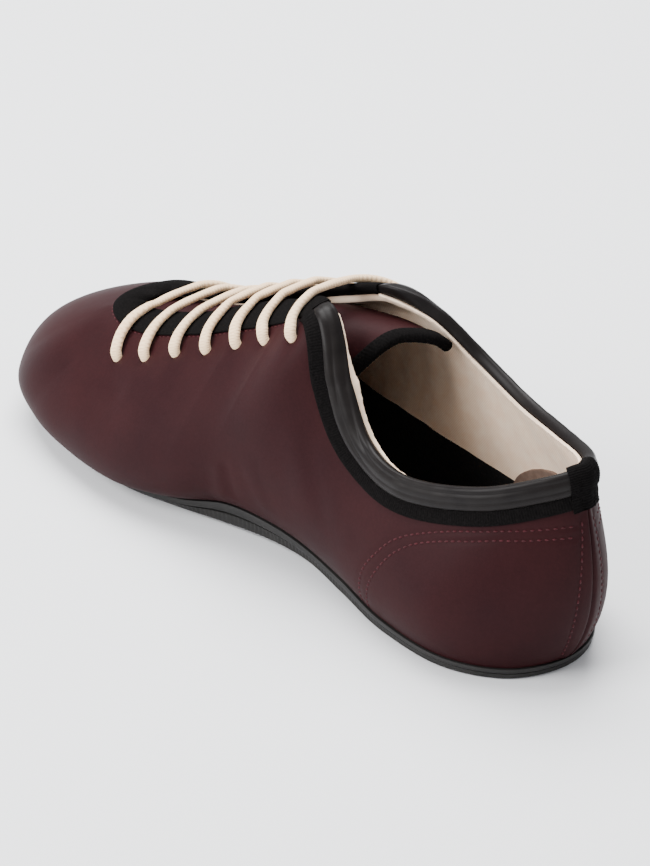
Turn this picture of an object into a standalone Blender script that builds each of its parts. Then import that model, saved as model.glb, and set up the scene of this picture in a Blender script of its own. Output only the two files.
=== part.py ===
"""Left ballet sneaker: soft leather upper on a thin rubber sole, seven straight lace bars.

Frame: +X towards the toe, +Y towards the wearer's left (the outer side of this left shoe), +Z up,
with the floor at Z = 0 and the origin under the middle of the shoe's box.
"""
import math

import bpy
import bmesh
import numpy as np

# Driving dimensions, in millimetres
LENGTH = 267.0
BALL_WIDTH = 96.0
INSTEP_HEIGHT = 87.0
HEEL_HEIGHT = 70.0
WALL = 2.0
GAP = 0.32
PIPING_DROP = 4.8
PIPING_BULGE = 2.6
COLLAR_TAPE_WIDTH = 5.8
THROAT_TAPE_WIDTH = 8.6
TAPE_THICKNESS = 0.7
TAB_HALF_TURN = 0.43
TAB_INSIDE = 12.0
LACE_DIAMETER = 3.3
LACE_HOLE_DIAMETER = 3.4
TONGUE_THICKNESS = 1.8
BINDING_WIDTH = 5.0
BINDING_THICKNESS = 0.8
INSOLE_THICKNESS = 3.2
MM = 0.001

# The tables below draw the base last; another size is graded from it along each axis.
BASE_LENGTH = 267.0
BASE_BALL_WIDTH = 96.0
BASE_INSTEP_HEIGHT = 87.0
GRADE = np.array([LENGTH / BASE_LENGTH, BALL_WIDTH / BASE_BALL_WIDTH, INSTEP_HEIGHT / BASE_INSTEP_HEIGHT])
ORIGIN = np.array([LENGTH / 2 - 0.7, 0.5, 0.0])

# Bottom edge of the upper, one row for each section from the back seam to the toe tip.
# section, along, outer side, inner side, outer height, inner height
FEATHER = (
    ("back seam", 9.0, 1.5, 1.5, 4.0, 4.0),
    ("heel curve", 15.5, 20.0, -15.4, 4.0, 4.0),
    ("heel side", 34.0, 31.0, -27.0, 4.0, 4.0),
    ("counter", 60.0, 31.6, -27.5, 4.6, 4.8),
    ("waist back", 84.0, 27.3, -22.5, 6.2, 6.6),
    ("waist", 104.0, 25.0, -19.0, 8.0, 8.6),
    ("instep", 122.0, 25.2, -19.5, 9.0, 9.6),
    ("throat rear", 140.0, 28.5, -24.0, 9.4, 9.8),
    ("throat middle", 157.0, 35.0, -31.0, 6.2, 6.4),
    ("ball", 177.0, 40.5, -38.5, 4.8, 4.8),
    ("vamp", 201.0, 41.0, -41.0, 5.4, 5.4),
    ("toe corner", 224.0, 36.5, -38.0, 6.6, 6.6),
    ("toe side", 244.5, 24.0, -26.5, 8.8, 8.8),
    ("toe tip", 256.0, -1.0, -1.0, 10.0, 10.0),
)
# Fullness of the wall on the same sections: the belly stands out from the feather edge,
# the shoulder stands out from the top edge and below it.
# section, belly out, belly rise, shoulder out, shoulder drop
FULLNESS = (
    ("back seam", 9.0, 30.0, 2.8, 13.3),
    ("heel curve", 2.6, 28.0, 3.0, 12.5),
    ("heel side", 2.6, 25.0, 4.5, 12.0),
    ("counter", 3.5, 22.0, 4.5, 11.0),
    ("waist back", 5.5, 20.0, 5.0, 11.0),
    ("waist", 7.5, 19.0, 7.0, 11.5),
    ("instep", 9.0, 18.0, 13.5, 8.5),
    ("throat rear", 9.5, 15.0, 14.6, 8.2),
    ("throat middle", 9.0, 10.5, 15.2, 8.9),
    ("ball", 8.0, 7.6, 14.8, 8.2),
    ("vamp", 6.5, 5.5, 15.2, 9.0),
    ("toe corner", 6.5, 4.0, 20.0, 11.2),
    ("toe side", 9.2, 4.2, 27.8, 12.2),
    ("toe tip", 10.8, 7.8, 28.8, 9.8),
)
# Top edge of the upper: the collar as far as the instep row, then the throat.
# section, outer along, across, height, inner along, across, height
TOP_EDGE = (
    ("back seam", 6.4, 1.5, HEEL_HEIGHT, 6.4, 1.5, HEEL_HEIGHT),
    ("heel curve", 13.0, 11.0, 66.5, 13.5, -8.0, 68.0),
    ("heel side", 31.0, 20.5, 59.0, 31.0, -15.5, 65.3),
    ("counter", 57.0, 25.0, 53.0, 54.0, -21.5, 64.8),
    ("waist back", 78.0, 22.0, 55.0, 75.0, -22.3, 71.5),
    ("waist", 92.0, 17.8, 69.5, 90.0, -16.5, 83.0),
    ("instep", 109.0, 10.5, 87.0, 107.0, -10.0, 87.5),
    ("throat rear", 128.0, 9.6, 79.6, 127.0, -9.6, 80.4),
    ("throat middle", 149.0, 10.2, 69.8, 148.0, -10.2, 70.8),
    ("ball", 171.0, 11.2, 59.2, 170.0, -11.2, 60.2),
    ("vamp", 191.0, 11.8, 51.8, 190.0, -11.8, 52.8),
    ("toe corner", 205.0, 10.8, 48.5, 204.5, -10.8, 49.1),
    ("toe side", 212.0, 6.6, 47.6, 211.8, -6.6, 47.9),
    ("toe tip", 214.0, 0.0, 47.5, 214.0, 0.0, 47.5),
)
# Side of the sole under the same sections.
# section, top edge beyond the feather edge, bottom edge inside it, underside height, groove depth
SOLE_SIDE = (
    ("back seam", 0.8, 0.4, 0.0, 0.0),
    ("heel curve", 0.8, 0.3, 0.0, 0.0),
    ("heel side", 0.8, 0.2, 0.0, 0.0),
    ("counter", 0.9, 0.2, 0.0, 0.3),
    ("waist back", 1.0, 0.3, 0.7, 0.8),
    ("waist", 1.1, 0.8, 2.0, 0.9),
    ("instep", 1.1, 0.4, 1.9, 0.9),
    ("throat rear", 1.0, 0.1, 1.5, 0.9),
    ("throat middle", 0.6, 2.0, 1.0, 0.7),
    ("ball", 0.0, 4.0, 0.0, 0.4),
    ("vamp", -0.4, 4.0, 0.0, 0.0),
    ("toe corner", -0.4, 4.6, 0.9, 0.0),
    ("toe side", -0.4, 5.0, 3.6, 0.0),
    ("toe tip", -0.4, 5.0, 5.4, 0.0),
)
# Tongue sections, under face: the free end has slumped over towards the inner side.
# along, middle height, middle across, half breadth, fall of the outer edge, fall of the inner edge
TONGUE = (
    (228.0, 36.0, 0.0, 15.0, 2.4, 2.4),
    (214.0, 41.6, 0.0, 17.0, 3.6, 3.6),
    (190.0, 48.9, 0.0, 20.0, 7.8, 7.8),
    (170.0, 56.8, 0.0, 20.5, 10.3, 10.3),
    (149.0, 65.7, 0.0, 20.5, 11.0, 11.0),
    (128.0, 73.2, -0.6, 19.0, 9.6, 8.6),
    (110.0, 76.8, -2.6, 15.5, 14.0, 6.6),
    (94.0, 78.0, -5.0, 12.0, 17.5, 5.4),
    (78.0, 77.0, -5.6, 10.0, 18.0, 5.0),
)
TONGUE_FRONT_X = 226.0
TONGUE_END_X = 89.0
TONGUE_END_ROUND = 5.0
TONGUE_END_SKEW = 9.0
TONGUE_ARCH_POWER = 2.6
TONGUE_BREADTHS = np.sin(np.linspace(math.pi / 2, -math.pi / 2, 15))
BINDING_EASE = 0.35

# Lace holes on each side, front to back.
# place along the throat's edge, distance below the edge
LACE_HOLES = (
    (197.5, 18.8),
    (186.0, 17.0),
    (172.6, 15.2),
    (159.3, 14.4),
    (145.3, 13.6),
    (131.5, 13.6),
    (114.0, 15.6),
)

SECTION_COUNT = len(FEATHER)
TOE = SECTION_COUNT - 1
TURN = 2 * TOE
CORNER = 6.0
THROAT_TAPE_START = 6.62
SEAM_RISE = 0.5
SEAM_FLAT = 0.06
SEAM_FOOT = 0.22


def start_scene():
    """Empty the file and make one collection for the pieces and one for the cutters."""
    for old in list(bpy.data.objects):
        bpy.data.objects.remove(old, do_unlink=True)
    made = []
    for name in ("ballet_sneaker", "cutters"):
        made.append(bpy.data.collections.new(name))
        bpy.context.scene.collection.children.link(made[-1])
    return made


def material(name, colour, roughness):
    """A plain finish: base colour and roughness."""
    made = bpy.data.materials.new(name)
    made.use_nodes = True
    shader = made.node_tree.nodes["Principled BSDF"]
    shader.inputs["Base Color"].default_value = (*colour, 1.0)
    shader.inputs["Roughness"].default_value = roughness
    shader.inputs["Metallic"].default_value = 0.0
    return made


def ring(outer, inner):
    """Section rows as one loop: outer side from back seam to toe, inner side back again."""
    return np.array(list(outer) + list(inner)[-2:0:-1], float)


FEATHER_RING = ring([(r[1], r[2], r[4]) for r in FEATHER], [(r[1], r[3], r[5]) for r in FEATHER]) * GRADE
TOP_RING = ring([r[1:4] for r in TOP_EDGE], [r[4:7] for r in TOP_EDGE]) * GRADE
FULLNESS_RING = ring([r[1:] for r in FULLNESS], [r[1:] for r in FULLNESS])
SOLE_RING = ring([r[1:] for r in SOLE_SIDE], [r[1:] for r in SOLE_SIDE])


def along_ring(rows, turn):
    """Smooth closed curve through the rows, at station numbers turn."""
    turn = np.asarray(turn, float) % len(rows)
    at = np.floor(turn).astype(int)
    part = (turn - at)[..., None]
    before, here = rows[(at - 1) % len(rows)], rows[at % len(rows)]
    ahead, beyond = rows[(at + 1) % len(rows)], rows[(at + 2) % len(rows)]
    return 0.5 * (2 * here + (ahead - before) * part
                  + (2 * before - 5 * here + 4 * ahead - beyond) * part ** 2
                  + (3 * here - before - 3 * ahead + beyond) * part ** 3)


def outward(turn):
    """Level direction out of the shoe, square to the feather edge."""
    step = along_ring(FEATHER_RING, turn + 1e-3) - along_ring(FEATHER_RING, turn - 1e-3)
    flat = np.stack([-step[..., 1], step[..., 0], 0 * step[..., 0]], -1)
    return flat / np.linalg.norm(flat, axis=-1, keepdims=True)


def seam_rise(turn):
    """Ridge of the taped back seam."""
    away = np.minimum(np.asarray(turn) % TURN, TURN - np.asarray(turn) % TURN)
    return SEAM_RISE * np.clip((SEAM_FOOT - away) / (SEAM_FOOT - SEAM_FLAT), 0, 1)


def upper_point(turn, rise):
    """Outer face of the upper: a cubic from feather edge through belly and shoulder to top edge."""
    turn, rise = np.broadcast_arrays(np.asarray(turn, float), np.asarray(rise, float))
    feather, top = along_ring(FEATHER_RING, turn), along_ring(TOP_RING, turn)
    full, out = along_ring(FULLNESS_RING, turn), outward(turn)
    up = np.array([0.0, 0.0, 1.0])
    belly = feather + out * full[..., 0:1] + up * full[..., 1:2]
    shoulder = top + out * full[..., 2:3] - up * full[..., 3:4]
    points = [feather, belly, shoulder, top]
    spans = [np.linalg.norm(b - a, axis=-1) ** 0.75 for a, b in zip(points, points[1:])]
    knots = [0 * spans[0], spans[0], spans[0] + spans[1], spans[0] + spans[1] + spans[2]]
    place = rise * knots[3]
    result = 0
    for i, point in enumerate(points):
        weight = 1.0
        for j in range(4):
            if j != i:
                weight = weight * (place - knots[j]) / (knots[i] - knots[j])
        result = result + weight[..., None] * point
    return result + out * seam_rise(turn)[..., None]


def upper_frame(turn, rise):
    """Point, two tangents and outward normal of the upper's outer face."""
    step = 1e-3
    point = upper_point(turn, rise)
    around = (upper_point(turn + step, rise) - upper_point(turn - step, rise)) / (2 * step)
    upward = (upper_point(turn, rise + step) - upper_point(turn, rise - step)) / (2 * step)
    normal = np.cross(upward, around)
    return point, around, upward, normal / np.linalg.norm(normal, axis=-1, keepdims=True)


def rim_frame(turn):
    """Point of the top edge, direction up the leather square to the edge, outward normal."""
    point, around, upward, normal = upper_frame(turn, np.ones_like(turn))
    along = around / np.linalg.norm(around, axis=-1, keepdims=True)
    square = upward - along * (upward * along).sum(-1, keepdims=True)
    return point, square / np.linalg.norm(square, axis=-1, keepdims=True), normal


def walk(turn, distance):
    """Station numbers reached by walking down the upper, square to its top edge."""
    turn = np.array(turn, float)
    rise = np.ones_like(turn)
    down = -rim_frame(turn)[1]
    steps = max(1, math.ceil(distance / 1.5))
    for _ in range(steps):
        _, around, upward, normal = upper_frame(turn, rise)
        down = down - normal * (down * normal).sum(-1, keepdims=True)
        down = down / np.linalg.norm(down, axis=-1, keepdims=True) * (distance / steps)
        aa, au, uu = (around * around).sum(-1), (around * upward).sum(-1), (upward * upward).sum(-1)
        da, du = (down * around).sum(-1), (down * upward).sum(-1)
        det = aa * uu - au * au
        turn = turn + (da * uu - du * au) / det
        rise = rise + (du * aa - da * au) / det
    return turn, rise


def off_upper(turn, distance, offset):
    """Points at a walking distance below the top edge, stood off the outer face."""
    point, _, _, normal = upper_frame(*walk(turn, distance))
    return point + normal * offset


COLUMNS = np.unique(np.concatenate([
    np.arange(0, 3 * TURN) / 3, [SEAM_FLAT, SEAM_FOOT, TURN - SEAM_FLAT, TURN - SEAM_FOOT]]))


def columns_between(first, last):
    """The upper's own columns from first to last, which may start before the back seam."""
    both = np.concatenate([COLUMNS - TURN, COLUMNS])
    inside = both[(both > first + 0.02) & (both < last - 0.02)]
    return np.concatenate([[first], inside, [last]])


def add_object(name, vertices, faces, finish, collection):
    """A mesh object from points in millimetres of the base last."""
    mesh = bpy.data.meshes.new(name)
    mesh.from_pydata(((np.asarray(vertices) - ORIGIN) * MM).tolist(), [], faces)
    work = bmesh.new()
    work.from_mesh(mesh)
    bmesh.ops.remove_doubles(work, verts=work.verts, dist=1e-6)
    bmesh.ops.recalc_face_normals(work, faces=work.faces)
    work.to_mesh(mesh)
    work.free()
    mesh.materials.append(finish)
    mesh.shade_smooth()
    mesh.set_sharp_from_angle(angle=math.radians(40))
    made = bpy.data.objects.new(name, mesh)
    collection.objects.link(made)
    return made


def add_sheet(name, points, wrap, thickness, finish, collection):
    """A grid of points (columns by rows, rows upward) as a shell with its thickness to the outside."""
    count, rows = points.shape[:2]
    faces = []
    for i in range(count if wrap else count - 1):
        for j in range(rows - 1):
            ahead = (i + 1) % count
            faces.append((i * rows + j, i * rows + j + 1, ahead * rows + j + 1, ahead * rows + j))
    mesh = bpy.data.meshes.new(name)
    mesh.from_pydata(((points.reshape(-1, 3) - ORIGIN) * MM).tolist(), [], faces)
    mesh.materials.append(finish)
    mesh.shade_smooth()
    made = bpy.data.objects.new(name, mesh)
    collection.objects.link(made)
    shell = made.modifiers.new("thickness", "SOLIDIFY")
    shell.thickness = abs(thickness) * MM
    shell.offset = math.copysign(1.0, thickness)
    shell.use_even_offset = True
    return made


def add_loft(name, sections, finish, collection):
    """A closed solid through equal closed profiles; a profile may close up to a line or a point."""
    sections = np.asarray(sections)
    count, size = sections.shape[:2]
    faces = []
    for i in range(count - 1):
        for j in range(size):
            beside = (j + 1) % size
            faces.append((i * size + j, i * size + beside, (i + 1) * size + beside, (i + 1) * size + j))
    faces.append(tuple(range(size)))
    faces.append(tuple((count - 1) * size + j for j in range(size)))
    return add_object(name, sections.reshape(-1, 3), faces, finish, collection)


def make_upper(finish, collection, cutters):
    """Burgundy leather shell, open at collar, throat and underneath, with fourteen lace holes."""
    rises = np.array([0, 0.045, 0.1, 0.17, 0.26, 0.37, 0.5, 0.63, 0.76, 0.88, 1.0])
    points = upper_point(COLUMNS[:, None], rises[None, :])
    shell = add_sheet("upper", points, True, -WALL, finish, collection)
    for side, turns in (("outer", lace_turns(False)), ("inner", lace_turns(True))):
        for number, (turn, (_, down)) in enumerate(zip(turns, LACE_HOLES), start=1):
            place, _, _, normal = upper_frame(*walk([turn], down))
            drill = cut_cylinder(f"hole_{side}_{number}", place[0], normal[0], cutters)
            cut = shell.modifiers.new(drill.name, "BOOLEAN")
            cut.operation = "DIFFERENCE"
            cut.object = drill
    return shell


def cut_cylinder(name, point, axis, cutters):
    """Drill for one lace hole, along the leather's normal."""
    mesh = bpy.data.meshes.new(name)
    work = bmesh.new()
    bmesh.ops.create_cone(work, cap_ends=True, segments=10, radius1=LACE_HOLE_DIAMETER / 2 * MM,
                          radius2=LACE_HOLE_DIAMETER / 2 * MM, depth=4 * WALL * MM)
    work.to_mesh(mesh)
    work.free()
    drill = bpy.data.objects.new(name, mesh)
    drill.location = (point - ORIGIN) * MM
    side = np.cross(axis, [1.0, 0.0, 0.0])
    side /= np.linalg.norm(side)
    lead = np.cross(side, axis)
    drill.rotation_euler = rotation_from_axes(lead, side, axis)
    drill.hide_render = True
    drill.display_type = "WIRE"
    cutters.objects.link(drill)
    return drill


def rotation_from_axes(x_axis, y_axis, z_axis):
    """Euler turn that carries the world axes onto three square unit vectors."""
    matrix = np.stack([x_axis, y_axis, z_axis], 1)
    pitch = math.asin(-np.clip(matrix[2, 0], -1, 1))
    return (math.atan2(matrix[2, 1], matrix[2, 2]), pitch, math.atan2(matrix[1, 0], matrix[0, 0]))


def lace_turns(inner):
    """Station numbers of the lace holes on one side, front to back."""
    throat = np.linspace(CORNER, TOE, 200)
    if inner:
        throat = TURN - throat
    top_x = along_ring(TOP_RING, throat)[:, 0]
    wanted = np.array([along for along, _ in LACE_HOLES]) * GRADE[0]
    return np.interp(wanted, top_x, throat)


def sole_sections(turns, profile):
    """Cross-sections of a piece that follows the feather edge, heel to toe."""
    return [np.concatenate([profile(t), profile(TURN - t)[::-1]]) for t in turns]


def make_outsole(finish, collection):
    """Thin rubber sole: flat heel and forefoot, lifted waist, toe spring, groove along its side."""
    def side(turn):
        edge, out = along_ring(FEATHER_RING, turn), outward(turn)
        proud, inset, under, groove = along_ring(SOLE_RING, turn)
        under = max(under, 0.0)
        top = edge[2] - GAP
        tall = top - under
        shape = ((under, -inset), (under + 0.5, -inset + 0.5), (under + 0.50 * tall, -0.35 * inset),
                 (under + 0.56 * tall, -0.3 * inset - groove), (under + 0.64 * tall, proud - 0.3),
                 (top, proud))
        return np.array([[*(edge[:2] + out[:2] * reach), height] for height, reach in shape])

    turns = np.concatenate([[0.0, 0.12, 0.3], np.arange(0.5, TOE - 0.4, 0.25), [TOE - 0.3, TOE - 0.12, TOE]])
    return add_loft("outsole", sole_sections(turns, side), finish, collection)


def make_insole(finish, collection):
    """Covered inner sole lying inside the upper's foot."""
    def side(turn):
        edge, out = along_ring(FEATHER_RING, turn), outward(turn)
        inset = WALL + 1.0
        shape = ((0.0, inset), (INSOLE_THICKNESS, inset))
        return np.array([[*(edge[:2] - out[:2] * reach), edge[2] + height] for height, reach in shape])

    turns = np.concatenate([[0.0, 0.12, 0.3], np.arange(0.5, TOE - 0.4, 0.5), [TOE - 0.3, TOE - 0.12, TOE]])
    return add_loft("insole", sole_sections(turns, side), finish, collection)


def tongue_point(length_share, breadth_share):
    """Under face of the tongue: length 0 at the vamp to 1 at the free end, breadth -1 to 1."""
    length_share, breadth_share = np.broadcast_arrays(length_share, breadth_share)
    end_x = (TONGUE_END_X + TONGUE_END_ROUND * np.abs(breadth_share) ** 3
             + TONGUE_END_SKEW * breadth_share)
    x = TONGUE_FRONT_X + (end_x - TONGUE_FRONT_X) * length_share
    rows = np.array(TONGUE)[::-1]
    height, middle, half, outer_fall, inner_fall = (
        smooth_rows(rows[:, 0], rows[:, k], x) for k in range(1, 6))
    y = middle + breadth_share * half
    fall = np.where(breadth_share > 0, outer_fall, inner_fall)
    z = height - fall * np.abs(breadth_share) ** TONGUE_ARCH_POWER
    return np.stack([x, y, z], -1) * GRADE


def smooth_rows(keys, values, at):
    """Smooth curve through table values, by cubics with central slopes."""
    slopes = np.gradient(values, keys)
    i = np.clip(np.searchsorted(keys, at) - 1, 0, len(keys) - 2)
    span = keys[i + 1] - keys[i]
    u = (at - keys[i]) / span
    return ((1 + 2 * u) * (1 - u) ** 2 * values[i] + u * (1 - u) ** 2 * span * slopes[i]
            + u ** 2 * (3 - 2 * u) * values[i + 1] + u ** 2 * (u - 1) * span * slopes[i + 1])


def make_tongue(finish, collection):
    """Leather leaf under the throat, arched across the instep, free at its back end."""
    lengths = np.linspace(0, 1, 19) ** 0.8
    points = tongue_point(lengths[None, :], TONGUE_BREADTHS[:, None])
    return add_sheet("tongue", points, False, TONGUE_THICKNESS, finish, collection)


def make_tongue_binding(finish, collection):
    """Tape folded over the tongue's free end."""
    sections = []
    for breadth in TONGUE_BREADTHS * 0.998:
        end = tongue_point(1.0, breadth)
        back = end - tongue_point(0.97, breadth)
        back /= np.linalg.norm(back)
        beside = (max(breadth - 0.01, -1.0), min(breadth + 0.01, 1.0))
        across = tongue_point(1.0, beside[1]) - tongue_point(1.0, beside[0])
        across /= np.linalg.norm(across)
        up = np.cross(back, across)
        up *= np.sign(up[2]) / np.linalg.norm(up)
        out = np.cross(across, up)
        out *= np.sign((out * back).sum())
        lap = tongue_point(1.0 - BINDING_WIDTH / (TONGUE_FRONT_X - TONGUE_END_X), breadth)
        fold, edge = end + out * GAP, end + out * (GAP + BINDING_THICKNESS)
        low, high = -GAP - BINDING_EASE, TONGUE_THICKNESS + GAP + BINDING_EASE
        under, over = low - BINDING_THICKNESS, high + BINDING_THICKNESS
        shape = ((lap, high), (fold, high), (fold, low), (lap, low),
                 (lap, under), (edge, under), (edge, over), (lap, over))
        sections.append([place + up * height for place, height in shape])
    return add_loft("tongue_binding", sections, finish, collection)


def make_tape(name, turns, near, far, rows, finish, collection):
    """A sewn tape lying on the upper between two walking distances from its top edge."""
    distances = np.linspace(far, near, rows)
    points = np.stack([off_upper(turns, d, GAP) for d in distances], 1)
    return add_sheet(name, points, False, TAPE_THICKNESS, finish, collection)


def make_collar_piping(turns, finish, collection):
    """Rolled leather edge: an outer roll that hooks over the collar's raw edge."""
    outer = ((0.0, PIPING_BULGE - 0.7), (PIPING_DROP * 0.3, PIPING_BULGE),
             (PIPING_DROP * 0.7, PIPING_BULGE - 0.1), (PIPING_DROP, PIPING_BULGE - 0.9),
             (PIPING_DROP, GAP), (PIPING_DROP / 2, GAP), (0.0, GAP))
    ring_points = [off_upper(turns, down, offset) for down, offset in outer]
    edge, upward, normal = rim_frame(turns)
    for offset, lift in ((GAP, 0.7), (-WALL * 0.6, 0.7), (-WALL * 0.6, 1.2), (0.6, 1.9)):
        ring_points.append(edge + normal * offset + upward * lift)
    sections = np.stack(ring_points, 1)
    return add_loft("collar_piping", sections, finish, collection)


def make_heel_tab(finish, collection):
    """Ribbed tape folded over the collar at the back seam."""
    turns = columns_between(-TAB_HALF_TURN, TAB_HALF_TURN)
    clear = PIPING_BULGE + GAP
    tape_end = PIPING_DROP + 0.5 + COLLAR_TAPE_WIDTH
    flat = GAP + TAPE_THICKNESS + GAP + 0.2
    outside = [(tape_end + 0.4, flat), (PIPING_DROP + 1.6, flat + 0.2), (PIPING_DROP, clear), (0.2, clear)]
    lining = WALL + SEAM_RISE + GAP
    inside = [(0.2, -lining), (TAB_INSIDE / 2, -lining), (TAB_INSIDE, -lining)]
    edge, upward, normal = rim_frame(turns)

    def path(extra):
        over = [(1.2, 2.5), (-WALL * 0.8, 1.9)]
        points = [off_upper(turns, down, offset + extra) for down, offset in outside]
        points += [edge + normal * (offset + 0.3 * extra) + upward * (lift + extra) for offset, lift in over]
        points += [off_upper(turns, down, offset - extra) for down, offset in inside]
        return points

    sections = np.stack(path(0.0) + path(TAPE_THICKNESS)[::-1], 1)
    return add_loft("heel_tab", sections, finish, collection)


def make_lace_bars(finish, collection):
    """Seven straight bars of cotton cord, each lying over the tapes from hole to hole."""
    radius = LACE_DIAMETER / 2
    over_tape = GAP + TAPE_THICKNESS + GAP + radius + 0.35
    outer_turns, inner_turns = lace_turns(False), lace_turns(True)
    bars = []
    for number, (_, hole_down) in enumerate(LACE_HOLES):
        stops = ((hole_down, GAP + radius), (THROAT_TAPE_WIDTH + 2.2, GAP + radius + 0.7),
                 (THROAT_TAPE_WIDTH - 0.4, over_tape), (THROAT_TAPE_WIDTH / 2, over_tape), (0.6, over_tape))
        route = [off_upper(outer_turns[number:number + 1], down, offset)[0] for down, offset in stops]
        back = [off_upper(inner_turns[number:number + 1], down, offset)[0] for down, offset in stops]
        for share in (0.25, 0.5, 0.75):
            crossing = route[len(stops) - 1] * (1 - share) + back[-1] * share
            route.append(crossing + np.array([0.0, 0.0, 4 * share * (1 - share)]))
        route += back[::-1]
        bars.append(add_cord(f"lace_bar_{number + 1}", route, radius, finish, collection))
    return bars


def add_cord(name, route, radius, finish, collection):
    """Round cord through the route's points."""
    curve = bpy.data.curves.new(name, "CURVE")
    curve.dimensions = "3D"
    curve.bevel_depth = radius * MM
    curve.bevel_resolution = 2
    curve.use_fill_caps = True
    spline = curve.splines.new("POLY")
    spline.points.add(len(route) - 1)
    for node, point in zip(spline.points, route):
        node.co = (*((point - ORIGIN) * MM), 1.0)
    curve.materials.append(finish)
    made = bpy.data.objects.new(name, curve)
    collection.objects.link(made)
    return made


pieces, cutters = start_scene()
leather = material("burgundy_calf_leather", (0.058, 0.020, 0.022), 0.45)
black_leather = material("black_rolled_leather", (0.012, 0.012, 0.013), 0.4)
ribbed_tape = material("black_ribbed_tape", (0.008, 0.008, 0.009), 0.85)
rubber = material("black_rubber", (0.011, 0.010, 0.010), 0.6)
insole_cover = material("black_insole_cover", (0.006, 0.006, 0.006), 0.8)
cotton = material("cream_cotton_cord", (0.86, 0.78, 0.66), 0.9)

make_outsole(rubber, pieces)
make_insole(insole_cover, pieces)
make_upper(leather, pieces, cutters)
make_tongue(leather, pieces)
make_tongue_binding(ribbed_tape, pieces)
collar_turns = columns_between(-CORNER + 0.06, CORNER - 0.06)
throat_turns = columns_between(THROAT_TAPE_START, TURN - THROAT_TAPE_START)
tape_top = PIPING_DROP + 0.5
make_tape("collar_tape", collar_turns, tape_top, tape_top + COLLAR_TAPE_WIDTH, 4, ribbed_tape, pieces)
make_tape("throat_tape", throat_turns, 0.3, THROAT_TAPE_WIDTH, 4, ribbed_tape, pieces)
make_collar_piping(collar_turns, black_leather, pieces)
make_heel_tab(ribbed_tape, pieces)
make_lace_bars(cotton, pieces)
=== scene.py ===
import math

import bpy
import numpy as np
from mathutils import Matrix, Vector


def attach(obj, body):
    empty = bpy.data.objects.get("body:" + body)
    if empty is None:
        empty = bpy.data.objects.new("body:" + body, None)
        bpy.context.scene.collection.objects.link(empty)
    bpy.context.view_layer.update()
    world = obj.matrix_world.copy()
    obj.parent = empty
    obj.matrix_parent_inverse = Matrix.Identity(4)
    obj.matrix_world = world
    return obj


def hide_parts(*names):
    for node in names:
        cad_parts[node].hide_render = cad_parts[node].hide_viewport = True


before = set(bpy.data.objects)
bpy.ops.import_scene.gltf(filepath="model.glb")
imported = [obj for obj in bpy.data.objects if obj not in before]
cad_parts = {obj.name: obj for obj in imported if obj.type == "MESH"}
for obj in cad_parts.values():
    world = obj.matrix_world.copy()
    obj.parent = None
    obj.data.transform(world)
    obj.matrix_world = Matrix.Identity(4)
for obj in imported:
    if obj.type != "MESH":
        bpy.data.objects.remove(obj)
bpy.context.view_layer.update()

# Camera
# The shoe is seen from behind and above its outer side, about a metre away, through a long lens.
# The lens is set in pixels for a picture 866 pixels high.
CAMERA_PLACE = Vector((-0.6869, 0.5811, 0.5340))
CAMERA_AIM = Vector((-0.0105, 0.0010, 0.0330))
PICTURE_HEIGHT = 866
FOCAL_PIXELS = 3170
SENSOR = 36.0

camera_data = bpy.data.cameras.new("camera")
camera_data.sensor_fit = "VERTICAL"
camera_data.sensor_height = SENSOR
camera_data.lens = SENSOR * FOCAL_PIXELS / PICTURE_HEIGHT
camera_data.clip_start = 0.05
camera_data.clip_end = 20.0
camera = bpy.data.objects.new("camera", camera_data)
camera.location = CAMERA_PLACE
camera.rotation_euler = (CAMERA_AIM - CAMERA_PLACE).to_track_quat("-Z", "Y").to_euler()
bpy.context.scene.collection.objects.link(camera)
bpy.context.scene.camera = camera

# Upper
# One piece of soft burgundy calf, lasted over a narrow foot shape and cemented to the sole.
# Its face is drawn in sections from the back seam round the outer side to the toe and back again.
MM = 0.001
FLOOR_MIDDLE = np.array([132.8, 0.5, 0.0])
# section, along, outer side, inner side, outer height, inner height
FEATHER = (
    ("back seam", 9.0, 1.5, 1.5, 4.0, 4.0),
    ("heel curve", 15.5, 20.0, -15.4, 4.0, 4.0),
    ("heel side", 34.0, 31.0, -27.0, 4.0, 4.0),
    ("counter", 60.0, 31.6, -27.5, 4.6, 4.8),
    ("waist back", 84.0, 27.3, -22.5, 6.2, 6.6),
    ("waist", 104.0, 25.0, -19.0, 8.0, 8.6),
    ("instep", 122.0, 25.2, -19.5, 9.0, 9.6),
    ("throat rear", 140.0, 28.5, -24.0, 9.4, 9.8),
    ("throat middle", 157.0, 35.0, -31.0, 6.2, 6.4),
    ("ball", 177.0, 40.5, -38.5, 4.8, 4.8),
    ("vamp", 201.0, 41.0, -41.0, 5.4, 5.4),
    ("toe corner", 224.0, 36.5, -38.0, 6.6, 6.6),
    ("toe side", 244.5, 24.0, -26.5, 8.8, 8.8),
    ("toe tip", 256.0, -1.0, -1.0, 10.0, 10.0),
)
# section, belly out, belly rise, shoulder out, shoulder drop
FULLNESS = (
    ("back seam", 9.0, 30.0, 2.8, 13.3),
    ("heel curve", 2.6, 28.0, 3.0, 12.5),
    ("heel side", 2.6, 25.0, 4.5, 12.0),
    ("counter", 3.5, 22.0, 4.5, 11.0),
    ("waist back", 5.5, 20.0, 5.0, 11.0),
    ("waist", 7.5, 19.0, 7.0, 11.5),
    ("instep", 9.0, 18.0, 13.5, 8.5),
    ("throat rear", 9.5, 15.0, 14.6, 8.2),
    ("throat middle", 9.0, 10.5, 15.2, 8.9),
    ("ball", 8.0, 7.6, 14.8, 8.2),
    ("vamp", 6.5, 5.5, 15.2, 9.0),
    ("toe corner", 6.5, 4.0, 20.0, 11.2),
    ("toe side", 9.2, 4.2, 27.8, 12.2),
    ("toe tip", 10.8, 7.8, 28.8, 9.8),
)
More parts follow.
